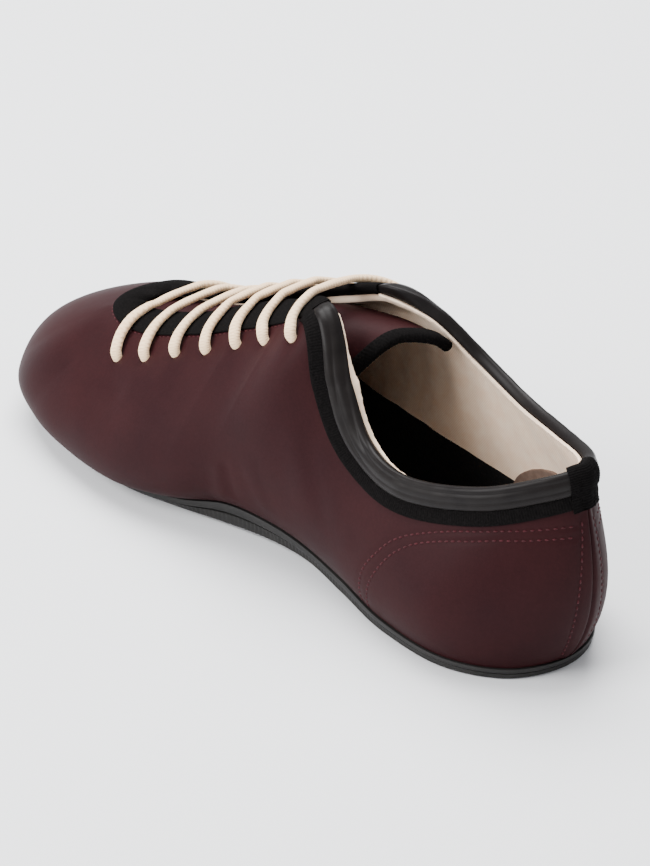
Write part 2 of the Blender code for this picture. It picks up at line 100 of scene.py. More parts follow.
# section, outer along, across, height, inner along, across, height
TOP_EDGE = (
    ("back seam", 6.4, 1.5, 70.0, 6.4, 1.5, 70.0),
    ("heel curve", 13.0, 11.0, 66.5, 13.5, -8.0, 68.0),
    ("heel side", 31.0, 20.5, 59.0, 31.0, -15.5, 65.3),
    ("counter", 57.0, 25.0, 53.0, 54.0, -21.5, 64.8),
    ("waist back", 78.0, 22.0, 55.0, 75.0, -22.3, 71.5),
    ("waist", 92.0, 17.8, 69.5, 90.0, -16.5, 83.0),
    ("instep", 109.0, 10.5, 87.0, 107.0, -10.0, 87.5),
    ("throat rear", 128.0, 9.6, 79.6, 127.0, -9.6, 80.4),
    ("throat middle", 149.0, 10.2, 69.8, 148.0, -10.2, 70.8),
    ("ball", 171.0, 11.2, 59.2, 170.0, -11.2, 60.2),
    ("vamp", 191.0, 11.8, 51.8, 190.0, -11.8, 52.8),
    ("toe corner", 205.0, 10.8, 48.5, 204.5, -10.8, 49.1),
    ("toe side", 212.0, 6.6, 47.6, 211.8, -6.6, 47.9),
    ("toe tip", 214.0, 0.0, 47.5, 214.0, 0.0, 47.5),
)
# stations: the toe tip, once round, and the outer front corner of the collar
TOE = len(FEATHER) - 1
TURN = 2 * TOE
CORNER = 6.0
# back seam: rise of its ridge, and half breadths of the ridge's top and foot in stations
SEAM_RISE, SEAM_FLAT, SEAM_FOOT = 0.5, 0.06, 0.22
LEATHER_THICK = 1.5
# lace holes front to back: place along the throat edge, distance below it
LACE_HOLES = ((197.5, 18.8), (186.0, 17.0), (172.6, 15.2), (159.3, 14.4), (145.3, 13.6), (131.5, 13.6),
              (114.0, 15.6))
UPPER_COLUMNS, UPPER_ROWS, THROAT_POINTS = 520, 72, 400
# the mesh is closest near the back seam: share of its columns there, and the stations they cover
CROWD_SHARE, CROWD_TURN = 0.05, 0.4
# how the face is worked out: spread of its cubic's knots, probing step, stride down it, merging distance
KNOT_POWER, PROBE, STRIDE, MERGE = 0.75, 1e-3, 1.5, 2e-6


def ring(outer, inner):
    """Section rows as one loop: outer side from back seam to toe, inner side back again."""
    return np.array(list(outer) + list(inner)[-2:0:-1], float)


feather_ring = ring([(r[1], r[2], r[4]) for r in FEATHER], [(r[1], r[3], r[5]) for r in FEATHER])
top_ring = ring([r[1:4] for r in TOP_EDGE], [r[4:7] for r in TOP_EDGE])
fullness_ring = ring([r[1:] for r in FULLNESS], [r[1:] for r in FULLNESS])


def spline(before, here, ahead, beyond, part):
    """A part of the way from here to ahead on the smooth curve through four rows."""
    return 0.5 * (2 * here + (ahead - before) * part
                  + (2 * before - 5 * here + 4 * ahead - beyond) * part ** 2
                  + (3 * here - before - 3 * ahead + beyond) * part ** 3)


def along_ring(rows, turn):
    """Smooth closed curve through the rows, at station numbers turn."""
    turn = np.asarray(turn, float) % len(rows)
    at = np.floor(turn).astype(int)
    near = [rows[(at + step) % len(rows)] for step in (-1, 0, 1, 2)]
    return spline(*near, (turn - at)[..., None])


def from_seam(turn):
    """Stations away from the back seam, round either side."""
    return np.minimum(turn % TURN, TURN - turn % TURN)


def unit(vectors):
    """Vectors at length one."""
    return vectors / np.linalg.norm(vectors, axis=-1, keepdims=True)


def outward(turn):
    """Level direction out of the shoe, square to the feather edge."""
    step = along_ring(feather_ring, turn + PROBE) - along_ring(feather_ring, turn - PROBE)
    return unit(np.stack([-step[..., 1], step[..., 0], 0 * step[..., 0]], -1))


def upper_point(turn, rise):
    """Face of the leather: a cubic from feather edge through belly and shoulder to top edge."""
    turn, rise = np.broadcast_arrays(np.asarray(turn, float), np.asarray(rise, float))
    feather, top = along_ring(feather_ring, turn), along_ring(top_ring, turn)
    full, out = along_ring(fullness_ring, turn), outward(turn)
    up = np.array([0.0, 0.0, 1.0])
    belly = feather + out * full[..., 0:1] + up * full[..., 1:2]
    shoulder = top + out * full[..., 2:3] - up * full[..., 3:4]
    points = [feather, belly, shoulder, top]
    spans = [np.linalg.norm(b - a, axis=-1) ** KNOT_POWER for a, b in zip(points, points[1:])]
    knots = [0 * spans[0], spans[0], spans[0] + spans[1], spans[0] + spans[1] + spans[2]]
    place = rise * knots[3]
    result = 0
    for i, point in enumerate(points):
        weight = 1.0
        for j in range(4):
            if j != i:
                weight = weight * (place - knots[j]) / (knots[i] - knots[j])
        result = result + weight[..., None] * point
    ridge = SEAM_RISE * np.clip((SEAM_FOOT - from_seam(turn)) / (SEAM_FOOT - SEAM_FLAT), 0, 1)
    return result + out * ridge[..., None]


def upper_frame(turn, rise):
    """Point, two tangents and outward normal of the leather's face."""
    around = (upper_point(turn + PROBE, rise) - upper_point(turn - PROBE, rise)) / (2 * PROBE)
    upward = (upper_point(turn, rise + PROBE) - upper_point(turn, rise - PROBE)) / (2 * PROBE)
    return upper_point(turn, rise), around, upward, unit(np.cross(upward, around))


def rim_frame(turn):
    """Point of the top edge, direction up the leather square to the edge, outward normal."""
    point, around, upward, normal = upper_frame(turn, np.ones_like(turn))
    along = unit(around)
    return point, unit(upward - along * (upward * along).sum(-1, keepdims=True)), normal


def walk(turn, distance):
    """Station numbers reached by walking down the leather, square to its top edge."""
    turn = np.array(turn, float)
    rise = np.ones_like(turn)
    down = -rim_frame(turn)[1]
    steps = max(1, math.ceil(distance / STRIDE))
    for _ in range(steps):
        _, around, upward, normal = upper_frame(turn, rise)
        down = unit(down - normal * (down * normal).sum(-1, keepdims=True)) * (distance / steps)
        aa, au, uu = (around * around).sum(-1), (around * upward).sum(-1), (upward * upward).sum(-1)
        da, du = (down * around).sum(-1), (down * upward).sum(-1)
        det = aa * uu - au * au
        turn = turn + (da * uu - du * au) / det
        rise = rise + (du * aa - da * au) / det
    return turn, rise


def off_upper(turn, distance, offset):
    """Points a distance down from the top edge, or above it where that is negative, stood off the face."""
    if np.max(distance) < 0:
        point, up, normal = rim_frame(turn)
        return point - up * np.asarray(distance)[..., None] + normal * np.asarray(offset)[..., None]
    point, _, _, normal = upper_frame(*walk(turn, distance))
    return point + normal * np.asarray(offset)[..., None]


def throat_turns(inner, along):
    """Station numbers at places along one side of the throat."""
    throat = np.linspace(CORNER, TOE, THROAT_POINTS)
    if inner:
        throat = TURN - throat
    return np.interp(along, along_ring(top_ring, throat)[:, 0], throat)


def put_points(piece, points):
    """Move a piece's vertices to points given in millimetres from the heel."""
    piece.data.vertices.foreach_set("co", ((points - FLOOR_MIDDLE) * MM).astype(np.float32).ravel())
    piece.data.update()


def grid_piece(name, columns, rows, shape):
    """A flat grid primitive bent into a sheet: shape gives points from shares along and across."""
    bpy.ops.object.select_all(action="DESELECT")
    bpy.ops.mesh.primitive_grid_add(x_subdivisions=columns, y_subdivisions=rows, size=2)
    piece = bpy.context.object
    piece.name = piece.data.name = name
    flat = np.empty(len(piece.data.vertices) * 3, np.float32)
    piece.data.vertices.foreach_get("co", flat)
    flat = flat.reshape(-1, 3).astype(float)
    put_points(piece, shape((flat[:, 0] + 1) / 2, (flat[:, 1] + 1) / 2))
    return piece


def close_seams(piece, closed=False):
    """Merge edges that meet; a closed form also has its ends filled and its faces turned outwards."""
    bpy.context.view_layer.objects.active = piece
    bpy.ops.object.mode_set(mode="EDIT")
    bpy.ops.mesh.select_all(action="SELECT")
    bpy.ops.mesh.remove_doubles(threshold=MERGE)
    if closed:
        bpy.ops.mesh.fill_holes(sides=0)
        bpy.ops.mesh.select_all(action="SELECT")
        bpy.ops.mesh.normals_make_consistent(inside=False)
    bpy.ops.object.mode_set(mode="OBJECT")


def apply_modifier(piece, kind, **settings):
    """Add one modifier with its settings and apply it."""
    bpy.context.view_layer.objects.active = piece
    made = piece.modifiers.new(kind.lower(), kind)
    for name, value in settings.items():
        setattr(made, name, value)
    bpy.ops.object.modifier_apply(modifier=made.name)


def sheet_piece(name, columns, rows, shape, thick, side=-1.0):
    """A grid bent into a sheet, merged where its edges meet and thickened to one side."""
    piece = grid_piece(name, columns, rows, shape)
    close_seams(piece)
    apply_modifier(piece, "SOLIDIFY", thickness=thick * MM, offset=side)
    return piece


def finish_piece(piece, material, slot, *replaced, angle=40):
    """Material, smooth shading and the piece's place in the frame."""
    piece.data.materials.clear()
    piece.data.materials.append(material)
    bpy.ops.object.select_all(action="DESELECT")
    piece.select_set(True)
    bpy.context.view_layer.objects.active = piece
    bpy.ops.object.shade_smooth_by_angle(angle=math.radians(angle))
    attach(piece, "root")
    if replaced:
        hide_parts(*replaced)


def colour(code):
    """Linear colour of an sRGB hex value."""
    parts = [int(code[i:i + 2], 16) / 255 for i in (1, 3, 5)]
    return tuple(p / 12.92 if p <= 0.04045 else ((p + 0.055) / 1.055) ** 2.4 for p in parts) + (1.0,)


def add_node(tree, kind, inputs=None, into=None, stops=(), **settings):
    """One shader node: an input is a value, a socket or a node's first output; into is a socket it feeds."""
    made = tree.nodes.new("ShaderNode" + kind)
    for name, value in settings.items():
        setattr(made, name, value)
    for element, (place, code) in enumerate(stops):
        made.color_ramp.elements[element].position = place
        made.color_ramp.elements[element].color = colour(code)
    for name, value in (inputs or {}).items():
        if isinstance(value, bpy.types.Node):
            value = value.outputs[0]
        if isinstance(value, bpy.types.NodeSocket):
            tree.links.new(value, made.inputs[name])
        else:
            made.inputs[name].default_value = value
    if into is not None:
        tree.links.new(made.outputs[0], into)
    return made


def new_material(name, **constants):
    """A principled material with its constant sockets set; returns material, tree and shader."""
    made = bpy.data.materials.new(name)
    made.use_nodes = True
    shader = made.node_tree.nodes["Principled BSDF"]
    for socket, value in constants.items():
        shader.inputs[socket.replace("_", " ")].default_value = value
    return made, made.node_tree, shader


# soft troughs (minus) and ridges (plus) worn into the leather: start, end, width, height
CREASES = (
    ((204, 31, 37), (186, 36, 33), 5.0, -0.55),
    ((199, 37, 27), (178, 40, 24), 6.0, -0.45),
    ((208, 34, 28), (196, 40, 18), 6.5, 0.35),
    ((130, 36, 30), (130, 34, 18), 2.2, -0.40),
    ((134, 36, 28), (136, 33, 15), 2.0, 0.35),
    ((141, 35, 22), (142, 33, 12), 1.8, -0.30),
    ((120, 35, 33), (117, 33, 20), 3.0, 0.30),
    ((96, 33, 48), (88, 34, 30), 4.0, -0.40),
    ((103, 32, 52), (98, 34, 33), 4.5, 0.35),
    ((203, -31, 37), (184, -37, 33), 5.0, -0.55),
    ((198, -37, 27), (176, -41, 23), 6.0, -0.45),
    ((208, -34, 28), (195, -41, 18), 6.5, 0.35),
    ((128, -31, 30), (128, -28, 17), 2.4, -0.40),
    ((134, -32, 28), (136, -29, 14), 2.2, 0.35),
    ((100, -29, 56), (94, -28, 34), 4.5, -0.40),
    ((62, 33, 40), (70, 33, 30), 4.0, -0.25),
)
HOLE_DIMPLE, HOLE_REACH, HOLE_DOT = 0.9, 2.6, 0.01
PULL_LENGTH, PULL_WIDTH, PULL_HEIGHT = 12.0, 3.2, 0.05

hole_places, pull_ends = [], []
for side in (False, True):
    for along, down in LACE_HOLES:
        turn = throat_turns(side, [along])
        hole_places.append(upper_frame(*walk(turn, down))[0][0])
        pull_ends.append(upper_frame(*walk(turn, down + PULL_LENGTH))[0][0])


def near_line(points, start, end, width):
    """How near points are to a line, one on it and fading over its width."""
    start, end = np.array(start, float), np.array(end, float)
    reach = end - start
    share = np.clip(((points - start) @ reach) / (reach @ reach), 0, 1)
    apart = np.linalg.norm(points - start - share[:, None] * reach, axis=1)
    return np.exp(-(apart / width) ** 2)


def leather_relief(points):
    """Height of creases, lace pulls and hole dimples over the smooth face."""
    height = np.zeros(len(points))
    for start, end, width, rise in CREASES:
        height += rise * near_line(points, start, end, width)
    for hole, pull in zip(hole_places, pull_ends):
        height += PULL_HEIGHT * near_line(points, hole, pull, PULL_WIDTH)
        height -= HOLE_DIMPLE * near_line(points, hole, hole + HOLE_DOT, HOLE_REACH)
    return height


# stitch rows round the heel counter, the same on both sides: station, share up the leather
COUNTER_OUTER = ((3.38, 0.02), (3.26, 0.15), (3.16, 0.33), (3.03, 0.47), (2.88, 0.59), (2.63, 0.68),
                 (2.19, 0.75), (1.70, 0.765), (1.15, 0.745), (0.29, 0.725))
COUNTER_INNER = ((3.24, 0.02), (3.13, 0.13), (3.03, 0.26), (2.91, 0.40), (2.77, 0.53), (2.54, 0.63),
                 (2.16, 0.69), (1.66, 0.71), (1.12, 0.69), (0.29, 0.672))
# one row each side of the back seam: station, and its lower and upper end as shares up the leather
SEAM_ROW_TURN, SEAM_ROW_ENDS = 0.19, (0.03, 0.775)
COUNTER_POINTS, SEAM_POINTS = 300, 200
STITCH_CHANNEL, CHANNEL_WIDTH, CHANNEL_BLOCK = 0.22, 0.9, 4000
SEAM_GROOVE, SEAM_WIDTH = 0.7, 0.02


def smooth_path(rows, count):
    """Even points on a smooth open curve through table rows."""
    rows = np.array(rows, float)
    longer = np.concatenate([[2 * rows[0] - rows[1]], rows, [2 * rows[-1] - rows[-2]]])
    place = np.linspace(1, len(rows) - 1e-6, count)
    at = np.floor(place).astype(int)
    near = [longer[np.minimum(at + step, len(longer) - 1)] for step in (-1, 0, 1, 2)]
    return spline(*near, (place - at)[:, None])


stitch_paths = []
for table in (COUNTER_OUTER, COUNTER_INNER):
    path = smooth_path(table, COUNTER_POINTS)
    stitch_paths += [path, np.stack([TURN - path[:, 0], path[:, 1]], 1)]
for side in (SEAM_ROW_TURN, -SEAM_ROW_TURN):
    stitch_paths.append(np.stack([np.full(SEAM_POINTS, side), np.linspace(*SEAM_ROW_ENDS, SEAM_POINTS)], 1))
channel_points = np.concatenate([upper_point(p[::2, 0], p[::2, 1]) for p in stitch_paths])


def stitch_channels(points):
    """Shallow trough that the tight thread pulls into the leather, worked out a block of points at a time."""
    depth = np.zeros(len(points))
    for start in range(0, len(points), CHANNEL_BLOCK):
        block = slice(start, start + CHANNEL_BLOCK)
        apart = np.linalg.norm(points[block, None, :] - channel_points[None, :, :], axis=2).min(1)
        depth[block] = STITCH_CHANNEL * np.exp(-(apart / CHANNEL_WIDTH) ** 2)
    return depth


def upper_shape(around, up):
    """The creased leather over the whole ring."""
    turn = np.interp(around, (0, CROWD_SHARE, 1 - CROWD_SHARE, 1), (TURN, TURN - CROWD_TURN, CROWD_TURN, 0))
    point, _, _, normal = upper_frame(turn, up)
    seam = SEAM_GROOVE * np.exp(-(from_seam(turn) / SEAM_WIDTH) ** 2)
    return point + normal * (leather_relief(point) - stitch_channels(point) - seam)[:, None]


# sizes of the leather's dye clouds, pebble grain and pores
CALF_CLOUD, CALF_PEBBLE, CALF_PORE = 22.0, 1.1, 0.5


def burgundy_leather():
    """Drum-dyed calf with a soft finish: fine pebble grain, faint cloudy dye, dull sheen on the bends."""
    made, tree, shader = new_material("burgundy_calf_leather", Specular_IOR_Level=0.07)
    place = add_node(tree, "TexCoord").outputs["Object"]
    cloud = add_node(tree, "TexNoise", {"Vector": place, "Scale": 1 / (CALF_CLOUD * MM), "Detail": 4.0})
    grain = add_node(tree, "TexVoronoi", feature="SMOOTH_F1", inputs={
        "Vector": place, "Scale": 1 / (CALF_PEBBLE * MM), "Smoothness": 0.6})
    pores = add_node(tree, "TexNoise", {"Vector": place, "Scale": 1 / (CALF_PORE * MM), "Detail": 3.0})
    tone = add_node(tree, "ValToRGB", {"Fac": cloud}, stops=((0.30, "#250D10"), (0.70, "#2C1214")))
    speck = add_node(tree, "ValToRGB", {"Fac": grain}, stops=((0.0, "#FFFFFF"), (1.0, "#C9C0C0")))
    mixed = add_node(tree, "Mix", {"Factor": 0.35, "A": tone, "B": speck},
                     data_type="RGBA", blend_type="MULTIPLY")
    tree.links.new(mixed.outputs["Result"], shader.inputs["Base Color"])
    add_node(tree, "MapRange",
             {"Value": cloud, "From Min": 0.3, "From Max": 0.7, "To Min": 0.52, "To Max": 0.62},
             shader.inputs["Roughness"])
    fine = add_node(tree, "Bump", {"Strength": 0.12, "Distance": 0.1 * MM, "Height": pores})
    add_node(tree, "Bump", {"Strength": 0.14, "Distance": 0.12 * MM, "Height": grain, "Normal": fine},
             shader.inputs["Normal"], invert=True)
    return made


leather = burgundy_leather()
upper = sheet_piece("upper_leather", UPPER_COLUMNS, UPPER_ROWS, upper_shape, LEATHER_THICK)
finish_piece(upper, leather, "upper_leather", "upper", angle=60)

# Outsole
# Thin sole moulded in black rubber and cemented under the upper: flat heel and forefoot, lifted waist,
# toe spring, a parting groove along its side and fine ribs below the groove at the waist.
SOLE_DROP, SOLE_STEPS, STATION_STEPS = 0.15, 760, 4000
# the ribs are full where the groove is this deep
RIB_PITCH, RIB_DEPTH, RIB_GROOVE = 1.7, 0.22, 0.6
# section, stand of its top edge, inset of its underside, lift of its underside, depth of the groove
SOLE_SIDE = (
    ("back seam", 0.8, 0.4, 0.0, 0.0),
    ("heel curve", 0.8, 0.3, 0.0, 0.0),
    ("heel side", 0.8, 0.2, 0.0, 0.0),
    ("counter", 0.9, 0.2, 0.0, 0.3),
    ("waist back", 1.0, 0.3, 0.7, 0.8),
    ("waist", 1.1, 0.8, 2.0, 0.9),
    ("instep", 1.1, 0.4, 1.9, 0.9),
    ("throat rear", 1.0, 0.1, 1.5, 0.9),
    ("throat middle", 0.6, 2.0, 1.0, 0.7),
    ("ball", 0.0, 4.0, 0.0, 0.4),
    ("vamp", -0.4, 4.0, 0.0, 0.0),
    ("toe corner", -0.4, 4.6, 0.9, 0.0),
    ("toe side", -0.4, 5.0, 3.6, 0.0),
    ("toe tip", -0.4, 5.0, 5.4, 0.0),
)
# from the underside up to the top edge: share of the height, millimetres more,
# share of the inset, share of the top edge's stand, millimetres out, share of the ribs, share of the groove
SOLE_PROFILE = (
    (0.00, 0.00, 1.00, 0, -0.90, 0, 0),
    (0.00, 0.12, 1.00, 0, -0.10, 0, 0),
    (0.00, 0.50, 1.00, 0, 0.45, 0, 0),
    (0.22, 0.00, 0.72, 0, 0.30, 1, 0),
    (0.36, 0.00, 0.50, 0, 0.30, 1, 0),
    (0.47, 0.00, 0.35, 0, 0.25, 1, 0),
    (0.52, 0.00, 0.30, 0, 0.00, 0, 1),
    (0.57, 0.00, 0.20, 0, 0.00, 0, 1),
    (0.61, 0.00, 0.00, 1, -0.35, 0, 0),
    (0.70, 0.00, 0.00, 1, -0.05, 0, 0),
    (0.90, 0.00, 0.00, 1, 0.00, 0, 0),
    (1.00, -0.05, 0.00, 1, -0.15, 0, 0),
    (1.00, 0.00, 0.00, 1, -0.60, 0, 0),
    (1.00, 0.00, 0.00, 1, -3.00, 0, 0),
)
sole_ring = ring([r[1:] for r in SOLE_SIDE], [r[1:] for r in SOLE_SIDE])


def sole_profile(turn, run):
    """Side of the sole from its underside to its top edge, for an array of stations."""
    edge, out = along_ring(feather_ring, turn), outward(turn)
    proud, inset, under, groove = along_ring(sole_ring, turn).T
    under = np.maximum(under, 0.0)
    tall = edge[:, 2] - SOLE_DROP - under
    ribs = 0.5 + 0.5 * np.cos(2 * math.pi * run / RIB_PITCH)
    ribs = RIB_DEPTH * ribs * np.clip(groove / RIB_GROOVE, 0, 1)
    sections = []
    for share, more, of_inset, of_proud, past, of_ribs, of_groove in SOLE_PROFILE:
        reach = past + of_proud * proud - of_inset * inset - of_ribs * ribs - of_groove * groove
        height = under + share * tall + more
        sections.append(np.concatenate([edge[:, :2] + out[:, :2] * reach[:, None], height[:, None]], 1))
    return np.stack(sections, 1)


def loft_piece(name, sections):
    """A closed form through equal closed profiles; end profiles may close up to a line."""
    count, size = sections.shape[:2]
    closed = np.concatenate([sections, sections[:, :1]], 1)

    def shape(along, across):
        return closed[np.rint(along * (count - 1)).astype(int), np.rint(across * size).astype(int)]

    piece = grid_piece(name, count - 1, size, shape)
    close_seams(piece, closed=True)
    return piece


def run_along(points):
    """Length of the way along a row of points, at each point."""
    return np.concatenate([[0], np.cumsum(np.linalg.norm(np.diff(points, axis=0), axis=1))])


def even_stations(first, last, count, curve):
    """Stations spaced evenly by length along a curve of points, and the whole length."""
    dense = np.linspace(first, last, STATION_STEPS)
    length = run_along(curve(dense))
    return np.interp(np.linspace(0, length[-1], count), length, dense), length[-1]


def mottled_material(name, tones, patch, grain=None, gloss=None, **constants):
    """A material mottled by noise, which may vary its gloss too, and raised by a grain of its own.

    The patch is a size in millimetres and a detail; the grain has a strength and a depth as well.
    """
    made, tree, shader = new_material(name, **constants)
    place = add_node(tree, "TexCoord").outputs["Object"]
    cloud = add_node(tree, "TexNoise", {"Vector": place, "Scale": 1 / (patch[0] * MM), "Detail": patch[1]})
    add_node(tree, "ValToRGB", {"Fac": cloud}, shader.inputs["Base Color"], tones)
    if gloss:
        add_node(tree, "MapRange", {"Value": cloud, "To Min": gloss[0], "To Max": gloss[1]},
                 shader.inputs["Roughness"])
    if grain:
        size, detail, strength, depth = grain
        fine = add_node(tree, "TexNoise", {"Vector": place, "Scale": 1 / (size * MM), "Detail": detail})
        add_node(tree, "Bump", {"Strength": strength, "Distance": depth * MM, "Height": fine},
                 shader.inputs["Normal"])
    return made


# moulded rubber: deep matte black, faint mould texture, greyer where handling polishes it
rubber = mottled_material("black_moulded_rubber", ((0.35, "#1A1918"), (0.75, "#262423")), patch=(12.0, 6.0),
                          grain=(0.6, 2.0, 0.3, 0.12), gloss=(0.48, 0.68), Specular_IOR_Level=0.3)
sole_turns, sole_run = even_stations(0, TOE, SOLE_STEPS, lambda t: along_ring(feather_ring, t))
run = np.linspace(0, sole_run, SOLE_STEPS)
outer_side = sole_profile(sole_turns, run)
inner_side = sole_profile(TURN - sole_turns, run)
outsole = loft_piece("outsole_rubber", np.concatenate([outer_side, inner_side[:, ::-1]], 1))
finish_piece(outsole, rubber, "outsole_rubber", "outsole", angle=35)

# Insole and sock
# A thin inner sole closes the upper from below. Over it is cemented a sock of dense black textile, whose
# sides turn up the wall to a straight edge.
SOCK_WALL, SOCK_INSET, SOCK_FOOT = 0.7, 2.3, 0.02
SOCK_COLUMNS, SOCK_ROWS, SOCK_KNIT = 260, 14, 0.9
INSOLE_STEPS, WALL_STEPS, SOCK_STATIONS = 160, 120, 521
# the inner sole's side: height over the feather edge, inset from it
INSOLE_PROFILE = ((0.1, 3.0), (2.6, 3.0), (3.2, 3.8))
# station, height of the sock's edge
SOCK_EDGE = ((0.0, 31.0), (2.0, 28.4), (3.0, 29.0), (4.0, 32.4), (5.0, 34.8), (6.0, 33.9), (7.0, 31.0),
             (9.0, 26.0), (13.0, 20.0))


def insole_side(turn):
    """Side of the inner sole from its underside to its bevelled top, for an array of stations."""
    edge, out = along_ring(feather_ring, turn), outward(turn)
    return np.stack([np.concatenate([edge[:, :2] - out[:, :2] * inset, edge[:, 2:] + height], 1)
                     for height, inset in INSOLE_PROFILE], 1)


def black_textile():
    """Dense black knit: almost no gloss, a soft fuzz that greys at grazing light."""
    made, tree, shader = new_material("black_sock_textile", Roughness=0.9, Sheen_Weight=0.08,
                                      Sheen_Roughness=0.5, Specular_IOR_Level=0.1)
    place = add_node(tree, "TexCoord").outputs["Object"]
    knit = add_node(tree, "TexVoronoi", {"Vector": place, "Scale": 1 / (SOCK_KNIT * MM)})
    add_node(tree, "ValToRGB", {"Fac": knit}, shader.inputs["Base Color"],
             stops=((0.0, "#0F0F0F"), (0.8, "#080808")))
    add_node(tree, "Bump", {"Strength": 0.4, "Distance": 0.2 * MM, "Height": knit}, shader.inputs["Normal"],
             invert=True)
    return made


sock_cloth = black_textile()
insole_turns = np.linspace(0, TOE, INSOLE_STEPS)
insole = loft_piece("insole_cover", np.concatenate(
    [insole_side(insole_turns), insole_side(TURN - insole_turns)[:, ::-1]], 1))
finish_piece(insole, sock_cloth, "insole_cover", "insole")


def table_at(table, at):
    """Value at a place in a table of (place, value) rows, straight between the rows."""
    places, values = np.array(table).T
    return np.interp(at, places, values)


def rise_at_height(turn, height):
    """Share up the wall at which the leather reaches a height."""
    rises = np.linspace(0, 1, WALL_STEPS)
    wall = upper_point(np.asarray(turn)[:, None], rises[None, :])[..., 2]
    wall = np.maximum.accumulate(wall, axis=1)
    return np.array([np.interp(h, w, rises) for h, w in zip(np.broadcast_to(height, len(wall)), wall)])


sock_stations = np.linspace(0, TURN, SOCK_STATIONS)
sock_rises = rise_at_height(sock_stations, table_at(SOCK_EDGE, from_seam(sock_stations)))


def sock_edge_rise(turn):
    """Share up the wall of the sock's straight top edge."""
    return np.interp(turn, sock_stations, sock_rises)


def sock_shape(around, up):
    """The sock's wall inside the leather, from the inner sole up to its edge."""
    turn = TURN * (1 - around)
    edge = sock_edge_rise(turn)
    point, _, _, normal = upper_frame(turn, SOCK_FOOT + (edge - SOCK_FOOT) * up)
    return point - normal * SOCK_INSET


sock = sheet_piece("sock_wall", SOCK_COLUMNS, SOCK_ROWS, sock_shape, SOCK_WALL)
finish_piece(sock, sock_cloth, "insole_cover")

# Lining
# Cream cotton twill glued to the inside of the leather, down to the sock. Its raw top edge stands bright
# inside the collar piping, and it bulges softly inwards below the edge of the throat.
LINING_INSET, LINING_THICK = 1.55, 0.8
LINING_COLUMNS, LINING_ROWS, LINING_CROWD = 900, 40, 1.6
# how far it reaches below the sock's edge, and where up the wall its top edge starts to lift, as shares
LINING_LAP, LIFT_FROM = 0.05, 0.9
# the bead along its top edge: how far in it stands, where it starts, and the stations over which it ends
LINING_BEAD, BEAD_FROM, BEAD_FADE = 0.9, 0.95, 0.25
# soft puckers: height, and waves by station and by share up
LINING_PUCKER, PUCKER_WAVES = 0.35, ((5.2, 4.0), (2.3, 9.0))
# frayed threads along the raw edge: heights, and waves by station
FRAY_COARSE, FRAY_FINE = 0.10, 0.06
FRAY_BEAT, FRAY_THREADS = (61.0, 37.0, 1.3), 173.0
# station, height of the raw edge above the leather: outer side of the collar, throat, inner side, back
LINING_TOP = ((0.0, -1.0), (0.55, -1.0), (0.7, 0.2), (3.0, 0.4), (3.5, 0.8), (4.0, 1.5), (4.5, 2.0),
              (5.2, 3.3), (5.7, 4.1), (5.95, 3.6), (6.08, 1.0), (6.15, -1.2), (19.8, -1.2), (19.92, 0.9),
              (20.4, 1.1), (25.3, 0.9), (25.45, -1.0), (26.0, -1.0))
# station, how far the lining bulges inwards below the throat edge
THROAT_ROLL = ((6.0, 1.3), (17.0, 1.3), (18.6, 2.4), (20.2, 2.6), (20.9, 0.4), (22.0, 0.0), (26.0, 0.0))
ROLL_PLACE, ROLL_WIDTH = 0.93, 0.035
# the twill's diagonal wale and slubs; a wave texture draws about 3.14 bands in a unit
TWILL_WALE, TWILL_SLUB, TWILL_LEAN, WAVE_BANDS = 0.6, 4.0, 38, 3.14


def ripple(place, first, second, shift):
    """Uneven ripple between minus one and one: two waves that beat."""
    return np.sin(place * first) * np.sin(place * second + shift)


def lining_shape(around, up):
    """The lining from below the sock's edge to its raw top edge, with bead, throat roll and puckers."""
    turn = TURN * (1 - around)
    foot = np.maximum(sock_edge_rise(turn) - LINING_LAP, 0.0)
    up = 1 - (1 - up) ** LINING_CROWD
    point, _, _, normal = upper_frame(turn, foot + (1 - foot) * up)
    _, above, _ = rim_frame(turn)
    fray = FRAY_COARSE * ripple(turn, *FRAY_BEAT) + FRAY_FINE * np.sin(turn * FRAY_THREADS)
    lift = np.clip((up - LIFT_FROM) / (1 - LIFT_FROM), 0, 1) * (table_at(LINING_TOP, turn) + fray)
    collar = 1 - np.clip((from_seam(turn) - CORNER) / BEAD_FADE, 0, 1)
    bead = collar * LINING_BEAD * np.clip((up - BEAD_FROM) / (1 - BEAD_FROM), 0, 1) ** 2
    roll = table_at(THROAT_ROLL, turn) * np.exp(-((up - ROLL_PLACE) / ROLL_WIDTH) ** 2) * (turn > CORNER)
    pucker = LINING_PUCKER * 4 * up * (1 - up)
    for by_turn, by_rise in PUCKER_WAVES:
        pucker = pucker * np.sin(turn * by_turn + up * by_rise)
    inset = LINING_INSET + LINING_PUCKER + bead + roll + pucker
    return point - normal * inset[:, None] + above * lift[:, None]


